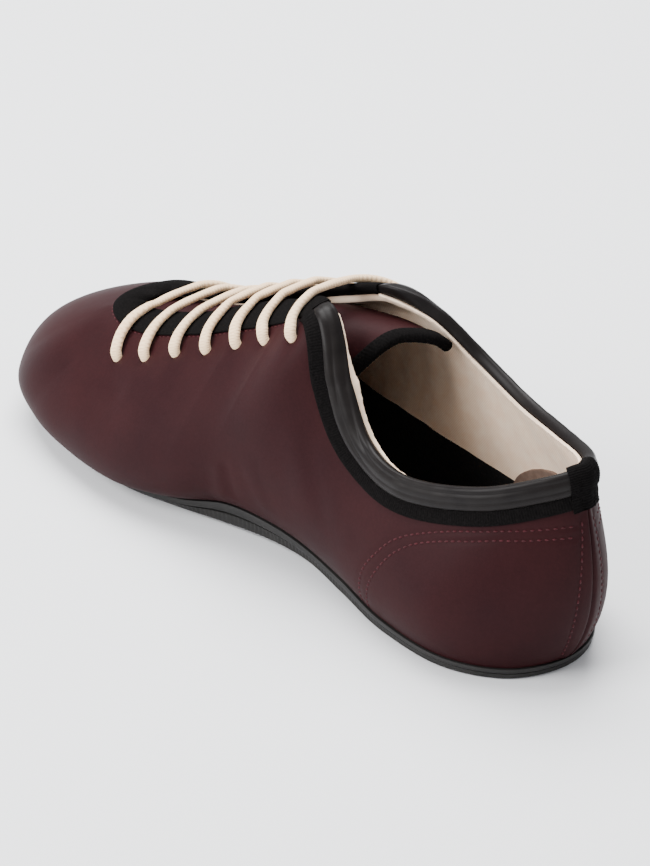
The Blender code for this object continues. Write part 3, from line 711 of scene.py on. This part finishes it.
def cream_twill():
    """Undyed cotton twill: fine diagonal wale, slight slub and a soft fuzz."""
    made, tree, shader = new_material("cream_cotton_twill", Roughness=0.85, Sheen_Weight=0.2,
                                      Sheen_Roughness=0.6, Specular_IOR_Level=0.25)
    place = add_node(tree, "TexCoord").outputs["Object"]
    turned = add_node(tree, "Mapping", {"Vector": place, "Rotation": (0.3, math.radians(TWILL_LEAN), 0.0)})
    wale = add_node(tree, "TexWave", {"Vector": turned, "Scale": 1 / (TWILL_WALE * MM) / WAVE_BANDS,
                                      "Distortion": 0.8, "Detail": 1.0, "Detail Scale": 3.0},
                    wave_type="BANDS", bands_direction="X").outputs["Fac"]
    slub = add_node(tree, "TexNoise", {"Vector": place, "Scale": 1 / (TWILL_SLUB * MM), "Detail": 5.0})
    tone = add_node(tree, "ValToRGB", {"Fac": slub}, stops=((0.3, "#F8D8BA"), (0.7, "#FFE6CC")))
    shade = add_node(tree, "ValToRGB", {"Fac": wale}, stops=((0.0, "#CFC6BC"), (0.6, "#FFFFFF")))
    mixed = add_node(tree, "Mix", {"Factor": 0.25, "A": tone, "B": shade},
                     data_type="RGBA", blend_type="MULTIPLY")
    tree.links.new(mixed.outputs["Result"], shader.inputs["Base Color"])
    add_node(tree, "Bump", {"Strength": 0.25, "Distance": 0.1 * MM, "Height": wale}, shader.inputs["Normal"])
    return made


twill = cream_twill()
lining = sheet_piece("collar_lining", LINING_COLUMNS, LINING_ROWS, lining_shape, LINING_THICK)
finish_piece(lining, twill, "lining_cloth", angle=60)

# Heel grip
# Patch of taupe suede that keeps the heel from slipping. It is sewn over the lining inside the back of the
# heel, and its front ends are rounded off.
GRIP_TURN, GRIP_FOOT = 3.19, 20.0
GRIP_INSET, GRIP_THICK, GRIP_BEVEL = 2.5, 0.8, 0.25
GRIP_COLUMNS, GRIP_ROWS = 150, 22
# station, height of its upper edge
GRIP_EDGE = ((0.0, 47.0), (1.0, 46.5), (1.8, 45.6), (2.27, 45.0), (2.5, 44.0), (2.73, 41.4), (2.94, 37.9),
             (3.09, 34.4), (3.17, 31.1), (3.19, 28.4))


def grip_shape(around, up):
    """The patch against the lining, from its lower edge up to its rounded outline."""
    turn = GRIP_TURN * (1 - 2 * around)
    low = rise_at_height(turn, GRIP_FOOT)
    high = rise_at_height(turn, table_at(GRIP_EDGE, np.abs(turn)))
    point, _, _, normal = upper_frame(turn, low + (high - low) * up)
    return point - normal * GRIP_INSET


# split suede with a short brushed nap: no gloss, clouded by the nap's lie
suede = mottled_material("taupe_split_suede", ((0.3, "#665247"), (0.7, "#786357")), patch=(2.5, 8.0),
                         grain=(2.5, 8.0, 0.4, 0.3), Roughness=0.95, Sheen_Weight=0.1, Sheen_Roughness=0.4,
                         Specular_IOR_Level=0.15)
grip = sheet_piece("heel_grip", GRIP_COLUMNS, GRIP_ROWS, grip_shape, GRIP_THICK)
apply_modifier(grip, "BEVEL", width=GRIP_BEVEL * MM, segments=2, limit_method="ANGLE")
finish_piece(grip, suede, "lining_cloth")

# Tongue
# Leaf of the same burgundy leather under the throat, sewn in at the vamp; its free end has slumped
# over towards the inner side of the foot.
TONGUE_FRONT_X, TONGUE_END_X, TONGUE_END_ROUND, TONGUE_END_SKEW = 226.0, 89.0, 5.0, 9.0
TONGUE_ARCH_POWER, TONGUE_THICK = 2.6, 1.8
TONGUE_COLUMNS, TONGUE_ROWS = 120, 48
# along, middle height, middle across, half breadth, fall of the outer edge, fall of the inner edge
TONGUE = (
    (228.0, 36.0, 0.0, 15.0, 2.4, 2.4),
    (214.0, 41.6, 0.0, 17.0, 3.6, 3.6),
    (190.0, 48.9, 0.0, 20.0, 7.8, 7.8),
    (170.0, 56.8, 0.0, 20.5, 10.3, 10.3),
    (149.0, 65.7, 0.0, 20.5, 11.0, 11.0),
    (128.0, 73.2, -0.6, 19.0, 9.6, 8.6),
    (110.0, 76.8, -2.6, 15.5, 14.0, 6.6),
    (94.0, 78.0, -5.0, 12.0, 17.5, 5.4),
    (78.0, 77.0, -5.6, 10.0, 18.0, 5.0),
)
# unevenness from wear, most at the vamp: height, waves along, waves across, and their shift
TONGUE_RIPPLE, TONGUE_COCKLE = (0.25, 23.0, 7.0, 0.6), (0.2, 41.0, 5.0)
TONGUE_WORN = 0.5


def smooth_rows(keys, values, at):
    """Smooth curve through table values, by cubics with central slopes."""
    slopes = np.gradient(values, keys)
    i = np.clip(np.searchsorted(keys, at) - 1, 0, len(keys) - 2)
    span = keys[i + 1] - keys[i]
    u = (at - keys[i]) / span
    return ((1 + 2 * u) * (1 - u) ** 2 * values[i] + u * (1 - u) ** 2 * span * slopes[i]
            + u ** 2 * (3 - 2 * u) * values[i + 1] + u ** 2 * (u - 1) * span * slopes[i + 1])


def tongue_point(length_share, breadth_share):
    """Under face of the tongue: length 0 at the vamp to 1 at the free end, breadth -1 to 1."""
    length_share, breadth_share = np.broadcast_arrays(length_share, breadth_share)
    end_x = TONGUE_END_X + TONGUE_END_ROUND * np.abs(breadth_share) ** 3 + TONGUE_END_SKEW * breadth_share
    x = TONGUE_FRONT_X + (end_x - TONGUE_FRONT_X) * length_share
    rows = np.array(TONGUE)[::-1]
    height, middle, half, outer_fall, inner_fall = (
        smooth_rows(rows[:, 0], rows[:, k], x) for k in range(1, 6))
    fall = np.where(breadth_share > 0, outer_fall, inner_fall)
    z = height - fall * np.abs(breadth_share) ** TONGUE_ARCH_POWER
    return np.stack([x, middle + breadth_share * half, z], -1)


def tongue_shape(along, across):
    """The leaf with the unevenness of worn leather."""
    point = tongue_point(along, 1 - 2 * across)
    high, lengthways, crossways, shift = TONGUE_RIPPLE
    lift = high * np.sin(along * lengthways) * np.sin(across * crossways + shift)
    high, lengthways, crossways = TONGUE_COCKLE
    lift = lift + high * np.sin(along * lengthways + across * crossways)
    point[:, 2] += lift * np.clip(1 - along, 0, TONGUE_WORN)
    return point


tongue = sheet_piece("tongue_leather", TONGUE_COLUMNS, TONGUE_ROWS, tongue_shape, TONGUE_THICK, side=1.0)
finish_piece(tongue, leather, "upper_leather", "tongue")

# Tongue binding
# Black ribbed cotton tape over the raw edge of the tongue's free end. It is folded round the edge and
# stitched down on both faces.
TAPE_RIB, TAPE_RIB_RISE = 0.85, 0.09
BINDING_WIDTH, BINDING_THICK, BINDING_STAND = 4.2, 0.6, 0.2
BINDING_STEPS, BINDING_REACH = 220, 0.998
# steps in along the leaf and to either side, from which the end's directions are read
END_STEP, SIDE_STEP = 0.03, 0.01
# the fold's profile, round its inside and back round its outside: share of the way from the lap to the end,
# millimetres past it, tape thicknesses past it, share of the way from the under to the upper face,
# millimetres above that, tape thicknesses above that
BINDING_PROFILE = (
    (0, 0, 0, 1, 0, 0),
    (1, 0.1, 0, 1, 0, 0),
    (1, 0.5, 0, 0.5, 0, 0),
    (1, 0.1, 0, 0, 0, 0),
    (0, 0, 0, 0, 0, 0),
    (0, 0, 0, 0, 0, -0.7),
    (0.1, 0, 0, 0, 0, -1),
    (1, 0.2, 0, 0, 0, -1),
    (1, 0.5, 0.8, 0, 0.2, 0),
    (1, 0.5, 1, 0.5, 0, 0),
    (1, 0.5, 0.8, 1, -0.2, 0),
    (1, 0.2, 0, 1, 0, 1),
    (0.1, 0, 0, 1, 0, 1),
    (0, 0, 0, 1, 0, 0.7),
)


def binding_sections():
    """Profiles of the folded tape from the outer to the inner side of the tongue's end."""
    low, high = -BINDING_STAND, TONGUE_THICK + BINDING_STAND
    lap_share = 1.0 - BINDING_WIDTH / (TONGUE_FRONT_X - TONGUE_END_X)
    sections = []
    breadths = np.sin(np.linspace(math.pi / 2, -math.pi / 2, BINDING_STEPS)) * BINDING_REACH
    for k, breadth in enumerate(breadths):
        end, lap = tongue_point(1.0, breadth), tongue_point(lap_share, breadth)
        back = unit(end - tongue_point(1.0 - END_STEP, breadth))
        beside = [tongue_point(1.0, np.clip(breadth + step, -1.0, 1.0)) for step in (-SIDE_STEP, SIDE_STEP)]
        across = unit(beside[1] - beside[0])
        up = np.cross(back, across)
        up = unit(up * np.sign(up[2]))
        out = np.cross(across, up)
        out = out * np.sign((out * back).sum())
        thick = BINDING_THICK + TAPE_RIB_RISE * (k % 4 in (0, 1))
        sections.append([lap + (end - lap) * to_end + out * (past + thick * thicks_past)
                         + up * (low + (high - low) * to_top + above + thick * thicks_above)
                         for to_end, past, thicks_past, to_top, above, thicks_above in BINDING_PROFILE])
    return np.array(sections)


# ribbed cotton tape: matte black warp over thick weft ribs, dusty fibre ends on the crowns
tape_cloth = mottled_material("black_grosgrain_tape", ((0.35, "#0A0909"), (0.72, "#131111")),
                              patch=(0.6, 4.0), grain=(0.6, 4.0, 0.5, 0.2), Roughness=0.95,
                              Specular_IOR_Level=0.04)
binding = loft_piece("tongue_binding_tape", binding_sections())
finish_piece(binding, tape_cloth, "ribbed_tape", "tongue_binding", angle=50)

# Throat and collar tapes
# The same ribbed tape: sewn flat round the outside of the collar, and folded over the edge round the
# U of the throat, where its soft fold stands in over the tongue.
TAPE_BACK, TAPE_FACE = 0.2, 0.8
# a tape's edge: how far its middle bulges, how high that is off the leather, and where its face starts
EDGE_BULGE, EDGE_HEIGHT, EDGE_ROUND = 0.05, 0.56, 0.25
# the collar tape's upper and lower edge below the rim, and the station of its ends
COLLAR_TAPE, COLLAR_TAPE_END = (5.2, 10.4), 6.2
THROAT_TAPE_WIDTH, THROAT_TAPE_START = 8.6, 6.12
# stations from the back seam, how far the fold stands past the leather
THROAT_FOLD = ((6.1, 1.3), (6.5, 2.6), (7.2, 3.8), (9.0, 4.0), (11.0, 3.0), (13.0, 2.2))
# share of the fold's stand, off the leather: over its outside, down its inside, and back in its hollow
FOLD_OUTSIDE = ((0.4, 0.8), (0.75, 0.65), (0.95, 0.25))
FOLD_INSIDE = ((1.0, -0.4), (0.95, -1.0), (0.75, -1.5), (0.4, -2.0))
FOLD_HOLLOW = ((0.4, -1.3), (0.75, -0.8), (0.85, -0.4), (0.75, 0.0), (0.4, 0.1))
# the leg inside, down and back up to the rim: distance below the rim, off the leather
FOLD_LEG = ((0.0, -2.5), (0.85, -2.8), (1.7, -2.9), (1.75, -2.5), (0.85, -2.4), (0.0, -1.7))


def trim_sections(turns, profile):
    """Profiles of (down, off) pairs stood on the leather at each station."""
    return np.stack([off_upper(turns, down, np.broadcast_to(off, turns.shape)) for down, off in profile], 1)


def ribbed_run(first, last, down):
    """Stations four to a rib along a line below the top edge, and the ribs' rise at each."""
    def line(turn):
        return off_upper(turn, down, 0 * turn)

    _, length = even_stations(first, last, 2, line)
    count = int(length / TAPE_RIB * 4)
    turns, _ = even_stations(first, last, count, line)
    return turns, TAPE_RIB_RISE * np.cos(2 * math.pi * np.arange(count) / 4)


def tape_edge(at, side, rib):
    """Profile round a tape's raw edge from its back to its face; side is 1 at a lower edge, else -1."""
    return [(at, TAPE_BACK), (at + side * EDGE_BULGE, EDGE_HEIGHT),
            (at - side * EDGE_ROUND, TAPE_FACE + 0.5 * rib)]


def flat_tape(near, far, rib):
    """Profile of a tape lying flat between two distances below the top edge."""
    inner = [far + (near - far) * share for share in (0.25, 0.5, 0.75)]
    return (tape_edge(far, 1, rib) + [(down, TAPE_FACE + rib) for down in inner]
            + tape_edge(near, -1, rib)[::-1] + [(down, TAPE_BACK) for down in inner[::-1]])


def throat_fold(turn):
    """How far the throat tape's fold stands past the leather at a station."""
    return table_at(THROAT_FOLD, from_seam(turn))


def folded_tape(far, rib, fold):
    """Profile of a tape folded over the top edge: outer face, fold, inner leg and back inside the fold."""
    return (tape_edge(far, 1, rib)
            + [(far * share, TAPE_FACE + rib) for share in (0.75, 0.5, 0.25, 0.0)]
            + [(-fold * share, off + rib) for share, off in FOLD_OUTSIDE]
            + [(-fold * share, off) for share, off in FOLD_INSIDE]
            + list(FOLD_LEG)
            + [(-fold * share, off) for share, off in FOLD_HOLLOW]
            + [(far * share, TAPE_BACK) for share in (0.0, 0.25, 0.5, 0.75)])


collar_turns, collar_rib = ribbed_run(-COLLAR_TAPE_END, COLLAR_TAPE_END, COLLAR_TAPE[1])
collar_tape = loft_piece("collar_ribbed_tape", trim_sections(
    collar_turns, flat_tape(*COLLAR_TAPE, collar_rib)))
finish_piece(collar_tape, tape_cloth, "ribbed_tape", "collar_tape", angle=60)
throat_run, throat_rib = ribbed_run(THROAT_TAPE_START, TURN - THROAT_TAPE_START, THROAT_TAPE_WIDTH)
throat_tape = loft_piece("throat_ribbed_tape", trim_sections(
    throat_run, folded_tape(THROAT_TAPE_WIDTH, throat_rib, throat_fold(throat_run))))
finish_piece(throat_tape, tape_cloth, "ribbed_tape", "throat_tape", angle=60)

# Collar piping
# Strip of thin black kid rolled over the collar's edge and cemented down: a full roll on the rim and a
# flatter fold below it. Its ends are pared thin and tucked under the throat tape.
PIPING_STEPS, PIPING_END, PIPING_LINE = 540, 6.25, 1.0
# stations from the back seam, share of the roll's thickness
PIPING_PARED = ((5.4, 1.0), (5.9, 0.7), (6.1, 0.3), (6.25, 0.1))
# stations from the back seam, share of the roll's height above the rim
PIPING_STAND = ((4.4, 1.0), (5.2, 0.5), (5.9, 0.5), (6.1, 0.3))
# unevenness of the hand-rolled face: height, waves along it, and how far off the leather the face begins
PIPING_RIPPLE, PIPING_BEAT, PIPING_FACE = 0.06, (0.31, 0.083, 0.7), 1.0
# down the leather, off it
PIPING_PROFILE = (
    (0.6, 0.05), (-0.3, -0.2), (-0.2, -1.75), (-0.5, -2.05), (-0.95, -1.6), (-1.4, -0.5), (-1.6, 0.45),
    (-1.5, 1.25), (-1.0, 1.7), (-0.4, 1.95), (0.15, 2.0), (0.5, 1.93), (0.85, 2.02), (1.4, 2.2), (2.1, 2.28),
    (2.8, 2.2), (3.25, 2.05), (3.55, 1.9), (3.85, 1.95), (4.4, 1.95), (5.0, 1.8), (5.6, 1.45), (5.9, 1.1),
    (5.8, 0.9), (4.0, 0.25), (2.0, 0.1),
)

# thin black kid folded tight: smooth, half gloss, with stretched fine grain
kid = mottled_material("black_folded_kid", ((0.3, "#120F0F"), (0.75, "#1A1716")), patch=(9.0, 4.0),
                       grain=(0.7, 3.0, 0.2, 0.1), gloss=(0.33, 0.46), Specular_IOR_Level=0.10)
piping_turns, _ = even_stations(-PIPING_END, PIPING_END, PIPING_STEPS,
                                lambda turn: off_upper(turn, PIPING_LINE, 0 * turn))
piping_thick = table_at(PIPING_PARED, np.abs(piping_turns))
piping_stand = table_at(PIPING_STAND, np.abs(piping_turns))
piping_wave = PIPING_RIPPLE * ripple(np.arange(PIPING_STEPS), *PIPING_BEAT)
piping_rows = []
for down, off in PIPING_PROFILE:
    if down < 0:
        down = down * piping_stand
    if off > 0:
        off = piping_thick * (off + piping_wave * (off > PIPING_FACE))
    piping_rows.append((down, off))
piping = loft_piece("collar_rolled_piping", trim_sections(piping_turns, piping_rows))
finish_piece(piping, kid, "piping_leather", "collar_piping", angle=70)

# Heel tab
# Short length of the ribbed tape that covers the collar's trim at the back seam. It is folded over the
# collar and sewn down outside and in.
TAB_THICK, TAB_LENGTH = 0.7, 30.0
TAB_COLUMNS, TAB_ROWS = 24, 200
# half its breadth in stations, and how much that grows by each millimetre below the rim
TAB_HALF_TURN, TAB_SPREAD = 0.46, 0.012
# down the leather, off it, from the outer end over the rim to the inner end
TAB_PATH = (
    (11.5, 1.25), (9.0, 1.3), (6.6, 1.65), (5.2, 2.35), (3.0, 2.85), (1.0, 2.85), (-0.8, 2.2), (-2.2, 0.9),
    (-2.4, -0.6), (-1.6, -2.2), (0.6, -3.0), (4.0, -3.1), (8.0, -3.1), (12.0, -3.1),
)


def tab_shape(across, along):
    """The tape from its outer end over the rim to its inner end, ribbed across."""
    path = smooth_path(TAB_PATH, TAB_ROWS + 1)
    columns = np.linspace(-1, 1, TAB_COLUMNS + 1)
    ribs = TAPE_RIB_RISE * np.cos(np.linspace(0, TAB_LENGTH, TAB_ROWS + 1) / TAPE_RIB * 2 * math.pi)
    sheet = np.array([off_upper((TAB_HALF_TURN + TAB_SPREAD * max(down, 0)) * columns, down,
                                np.full(columns.shape, off + rib)) for (down, off), rib in zip(path, ribs)])
    return sheet[np.rint(along * TAB_ROWS).astype(int), np.rint(across * TAB_COLUMNS).astype(int)]


tab = sheet_piece("heel_tab_tape", TAB_COLUMNS, TAB_ROWS, tab_shape, TAB_THICK, side=1.0)
finish_piece(tab, tape_cloth, "ribbed_tape", "heel_tab", angle=60)

# Stitching
# Dark red waxed thread in lock stitches 2.3 mm apart: two rows round each heel counter,
# one each side of the back seam, and one along the throat tape's outer edge.
STITCH_PITCH, STITCH_LENGTH, STITCH_FIRST = 2.3, 1.8, 0.4
STITCH_SIDES, STITCH_RIBS, STITCH_CURVE = 6, 5, 0.6
# the thread's radius, the share of it at a stitch's ends, how deep they sink and how far the middle bows up
THREAD, THREAD_END, STITCH_SINK, STITCH_BOW = 0.30, 0.45, 0.30, 0.42
# the throat row: distance below the tape's edge, depth, and points along it
THROAT_ROW, THROAT_ROW_SINK, THROAT_ROW_POINTS = 0.5, 0.2, 700


def lay_stitches(name, paths, lift):
    """One mesh of separate stitches along paths of (station, rise), each a bent, rounded thread."""
    angles = np.linspace(0, 2 * math.pi, STITCH_SIDES, endpoint=False)[:, None]
    bow = np.sin(np.linspace(0, math.pi, STITCH_RIBS)).clip(0, 1)
    height = lift - STITCH_SINK + STITCH_BOW * bow ** STITCH_CURVE
    radius = THREAD * (THREAD_END + (1 - THREAD_END) * np.sqrt(bow))
    corner = np.arange(STITCH_RIBS * STITCH_SIDES).reshape(-1, STITCH_SIDES)
    ahead = np.roll(corner, -1, axis=1)
    walls = np.stack([corner[:-1], ahead[:-1], ahead[1:], corner[1:]], -1).reshape(-1, 4)
    caps = np.stack([corner[0, ::-1], corner[-1]])
    rounds, faces = [], []
    for path in paths:
        point, _, _, normal = upper_frame(path[:, 0], path[:, 1])
        length = run_along(point)
        for start in np.arange(STITCH_FIRST, length[-1] - STITCH_LENGTH, STITCH_PITCH):
            run = start + np.linspace(0, STITCH_LENGTH, STITCH_RIBS)
            centre = np.stack([np.interp(run, length, point[:, k]) for k in range(3)], 1)
            up = unit(np.stack([np.interp(run, length, normal[:, k]) for k in range(3)], 1))
            side = unit(np.cross(unit(np.gradient(centre, axis=0)), up))
            base = len(rounds) * STITCH_SIDES
            faces += (walls + base).tolist() + (caps + base).tolist()
            rounds += [c + u * h + r * (np.cos(angles) * s + np.sin(angles) * u)
                       for c, s, u, h, r in zip(centre, side, up, height, radius)]
    mesh = bpy.data.meshes.new(name)
    mesh.from_pydata([(0, 0, 0)] * (len(rounds) * STITCH_SIDES), [], faces)
    piece = bpy.data.objects.new(name, mesh)
    bpy.context.scene.collection.objects.link(piece)
    put_points(piece, np.concatenate(rounds))
    close_seams(piece, closed=True)
    finish_piece(piece, thread, "seam_thread", angle=60)


# waxed polyester thread: two plies laid together, dark red with a thin gloss
thread = mottled_material("dark_red_thread", ((0.3, "#300A10"), (0.7, "#421018")), patch=(1.2, 2.0),
                          Roughness=0.6, Specular_IOR_Level=0.2)
lay_stitches("counter_stitching", stitch_paths[:4], -STITCH_CHANNEL)
lay_stitches("back_seam_stitching", stitch_paths[4:], -STITCH_CHANNEL)
edge_turns = np.linspace(THROAT_TAPE_START, TURN - THROAT_TAPE_START, THROAT_ROW_POINTS)
throat_row = np.stack(walk(edge_turns, THROAT_TAPE_WIDTH + THROAT_ROW), 1)
lay_stitches("throat_stitching", [throat_row], -THROAT_ROW_SINK)

# Lace
# Round cotton cord in straight bars: each bar comes up through its hole on one side, lies over the
# tape and the tongue, and goes down through the hole on the other side.
LACE_WIDE, LACE_DEEP, LACE_LIFT = 2.1, 1.55, 2.2
LACE_STEPS, LACE_SIDES = 150, 20
# over the tongue: rise of the bar's middle, shares of the way across, and which way up the cord lies
LACE_ARCH, LACE_CROSSING, LACE_UPRIGHT = 0.4, (0.2, 0.4, 0.6, 0.8), (0.2, 0.0, 1.0)
# the cord is squeezed at its holes and pulled slimmer between them: share lost, and where along the bar
LACE_PINCH, PINCH_REACH = 0.2, 0.04
LACE_SLIM, SLIM_FROM, SLIM_OVER = 0.18, 0.16, 0.2
# unevenness of the braid: share, waves along the bar, shift from bar to bar
LACE_SWELL, SWELL_WAVES, SWELL_SHIFT = 0.04, 31, 1.7
# a bar's rough length, its plait along and strands round, and its loose fibres
LACE_BAR, LACE_PLAIT, LACE_STRANDS, LACE_FUZZ = 80.0, 1.4, 2.0, 0.8
# how far each bar leans towards the toe on its way up to the throat edge, front to back
LACE_LEAN = (3.5, 2.0, 0.8, 1.2, 2.2, 3.6, 5.0)
# distance above the hole, height of the cord's middle off the leather, share of the lean
LACE_AT_HOLE = ((-1.0, -2.3, 0.0), (-0.6, -0.9, 0.0), (0.2, 0.6, 0.02), (2.0, 1.6, 0.17))
# share of the way left from the hole to the throat edge, share of the lean
LACE_UP = ((0.62, 0.6), (0.3, 0.9), (0.0, 1.0))


def lace_route(number):
    """Middle line of one bar and the leather's normal along it."""
    places, normals = [], []
    for side in (False, True):
        along, below = LACE_HOLES[number]
        stops = [(below - above, off, share) for above, off, share in LACE_AT_HOLE]
        stops += [(below * left, LACE_LIFT, share) for left, share in LACE_UP]
        turns = throat_turns(side, along + LACE_LEAN[number] * np.array([stop[2] for stop in stops]))
        stops.append((-throat_fold(turns[-1]), LACE_LIFT, 1.0))
        turns = np.append(turns, turns[-1])
        spots = [(np.array([turn]), down, np.array([off])) for turn, (down, off, _) in zip(turns, stops)]
        places.append(np.array([off_upper(*spot)[0] for spot in spots]))
        normals.append(np.array([upper_frame(*walk(turn, max(down, 0.0)))[3][0] for turn, down, _ in spots]))
    ends = places[0][-1], places[1][-1]
    crossing = [ends[0] * (1 - share) + ends[1] * share + (0, 0, LACE_ARCH * math.sin(math.pi * share))
                for share in LACE_CROSSING]
    route = np.concatenate([places[0], crossing, places[1][::-1]])
    upright = np.concatenate([normals[0], [LACE_UPRIGHT] * len(crossing), normals[1][::-1]])
    return smooth_path(route, LACE_STEPS), unit(smooth_path(upright, LACE_STEPS))


def lace_sections(number):
    """Oval profiles of one bar's cord along its route."""
    middle, up = lace_route(number)
    ahead = unit(np.gradient(middle, axis=0))
    side = unit(np.cross(ahead, up))
    up = np.cross(side, ahead)
    angles = np.linspace(0, 2 * math.pi, LACE_SIDES, endpoint=False)
    place = np.linspace(0, 1, LACE_STEPS)
    inward = np.minimum(place, 1 - place)
    full = 1 - LACE_PINCH * np.exp(-(inward / PINCH_REACH) ** 2)
    full = full - LACE_SLIM * np.clip((inward - SLIM_FROM) / SLIM_OVER, 0, 1)
    full = full * (1 + LACE_SWELL * np.sin(place * SWELL_WAVES + number * SWELL_SHIFT))
    return (middle[:, None, :] + side[:, None, :] * (LACE_WIDE * full[:, None] * np.cos(angles))[..., None]
            + up[:, None, :] * (LACE_DEEP * full[:, None] * np.sin(angles))[..., None])


def cream_cotton():
    """Braided cotton cord: matte cream with soft loose fibres, and a painted shade in the grooves between its
    strands.

    Its strands are drawn 1.4 mm apart, a little coarser than the real braid, so that they show.
    """
    made, tree, shader = new_material("cream_braided_cotton", Roughness=0.88, Sheen_Weight=0.25,
                                      Sheen_Roughness=0.6, Specular_IOR_Level=0.25)
    place = add_node(tree, "TexCoord").outputs["Object"]
    along = add_node(tree, "UVMap")
    strands = []
    for lean in (LACE_STRANDS, -LACE_STRANDS):
        turned = add_node(tree, "Mapping", {"Vector": along, "Scale": (LACE_BAR / LACE_PLAIT, lean, 1.0)})
        split = add_node(tree, "SeparateXYZ", {"Vector": turned})
        total = add_node(tree, "Math", {0: split.outputs["X"], 1: split.outputs["Y"]}, operation="ADD")
        angle = add_node(tree, "Math", {0: total, 1: 2 * math.pi}, operation="MULTIPLY")
        strands.append(add_node(tree, "Math", {0: angle}, operation="SINE"))
    plait = add_node(tree, "Math", {0: strands[0], 1: strands[1]}, operation="MAXIMUM")
    fuzz = add_node(tree, "TexNoise", {"Vector": place, "Scale": 1 / (LACE_FUZZ * MM), "Detail": 4.0})
    # the colour is darker where the plait is low: a painted shade in the grooves between the strands
    add_node(tree, "ValToRGB", {"Fac": plait}, shader.inputs["Base Color"],
             stops=((0.0, "#F2CBA0"), (0.7, "#FFDDB2")))
    soft = add_node(tree, "Bump", {"Strength": 0.3, "Distance": 0.2 * MM, "Height": fuzz})
    add_node(tree, "Bump", {"Strength": 0.35, "Distance": 0.2 * MM, "Height": plait, "Normal": soft},
             shader.inputs["Normal"])
    return made


cotton = cream_cotton()
for bar in range(len(LACE_HOLES)):
    lace = loft_piece(f"lace_cord_{bar + 1}", lace_sections(bar))
    finish_piece(lace, cotton, "lace_cotton", f"lace_bar_{bar + 1}", angle=60)

# Studio
# Plain pale paper under soft light, which is not part of the shoe: a wide panel above, a smaller one low on
# the outer side, whose light reaches into the collar, and a pale sky.
FLOOR_HALF, SKY_STRENGTH = 6.0, 0.74
# panel, place, aim, breadth in metres, power in watts
PANELS = (
    ("overhead_panel", (0.5, -0.3, 1.45), (0, 0, 0), 1.3, 66),
    ("front_fill", (0.46, 1.27, 0.95), (0, 0, 0.04), 0.9, 38),
)

bpy.ops.object.select_all(action="DESELECT")
bpy.ops.mesh.primitive_plane_add(size=2 * FLOOR_HALF, location=(0, 0, 0))
floor = bpy.context.object
floor.name = "studio_floor"
# matte studio paper: an even pale grey that takes a soft shadow
paper, _, _ = new_material("pale_studio_paper", Base_Color=colour("#F1F2F4"), Roughness=0.9,
                           Specular_IOR_Level=0.1)
floor.data.materials.append(paper)


def area_light(name, place, aim, size, power):
    """A square soft panel at a place, facing an aim point."""
    data = bpy.data.lights.new(name, "AREA")
    data.size = size
    data.energy = power
    lamp = bpy.data.objects.new(name, data)
    lamp.location = place
    lamp.rotation_euler = (Vector(aim) - Vector(place)).to_track_quat("-Z", "Y").to_euler()
    bpy.context.scene.collection.objects.link(lamp)


for panel in PANELS:
    area_light(*panel)
world = bpy.data.worlds.new("pale_sky")
world.use_nodes = True
sky = world.node_tree.nodes["Background"]
sky.inputs["Color"].default_value = colour("#F6F7FA")
sky.inputs["Strength"].default_value = SKY_STRENGTH
bpy.context.scene.world = world
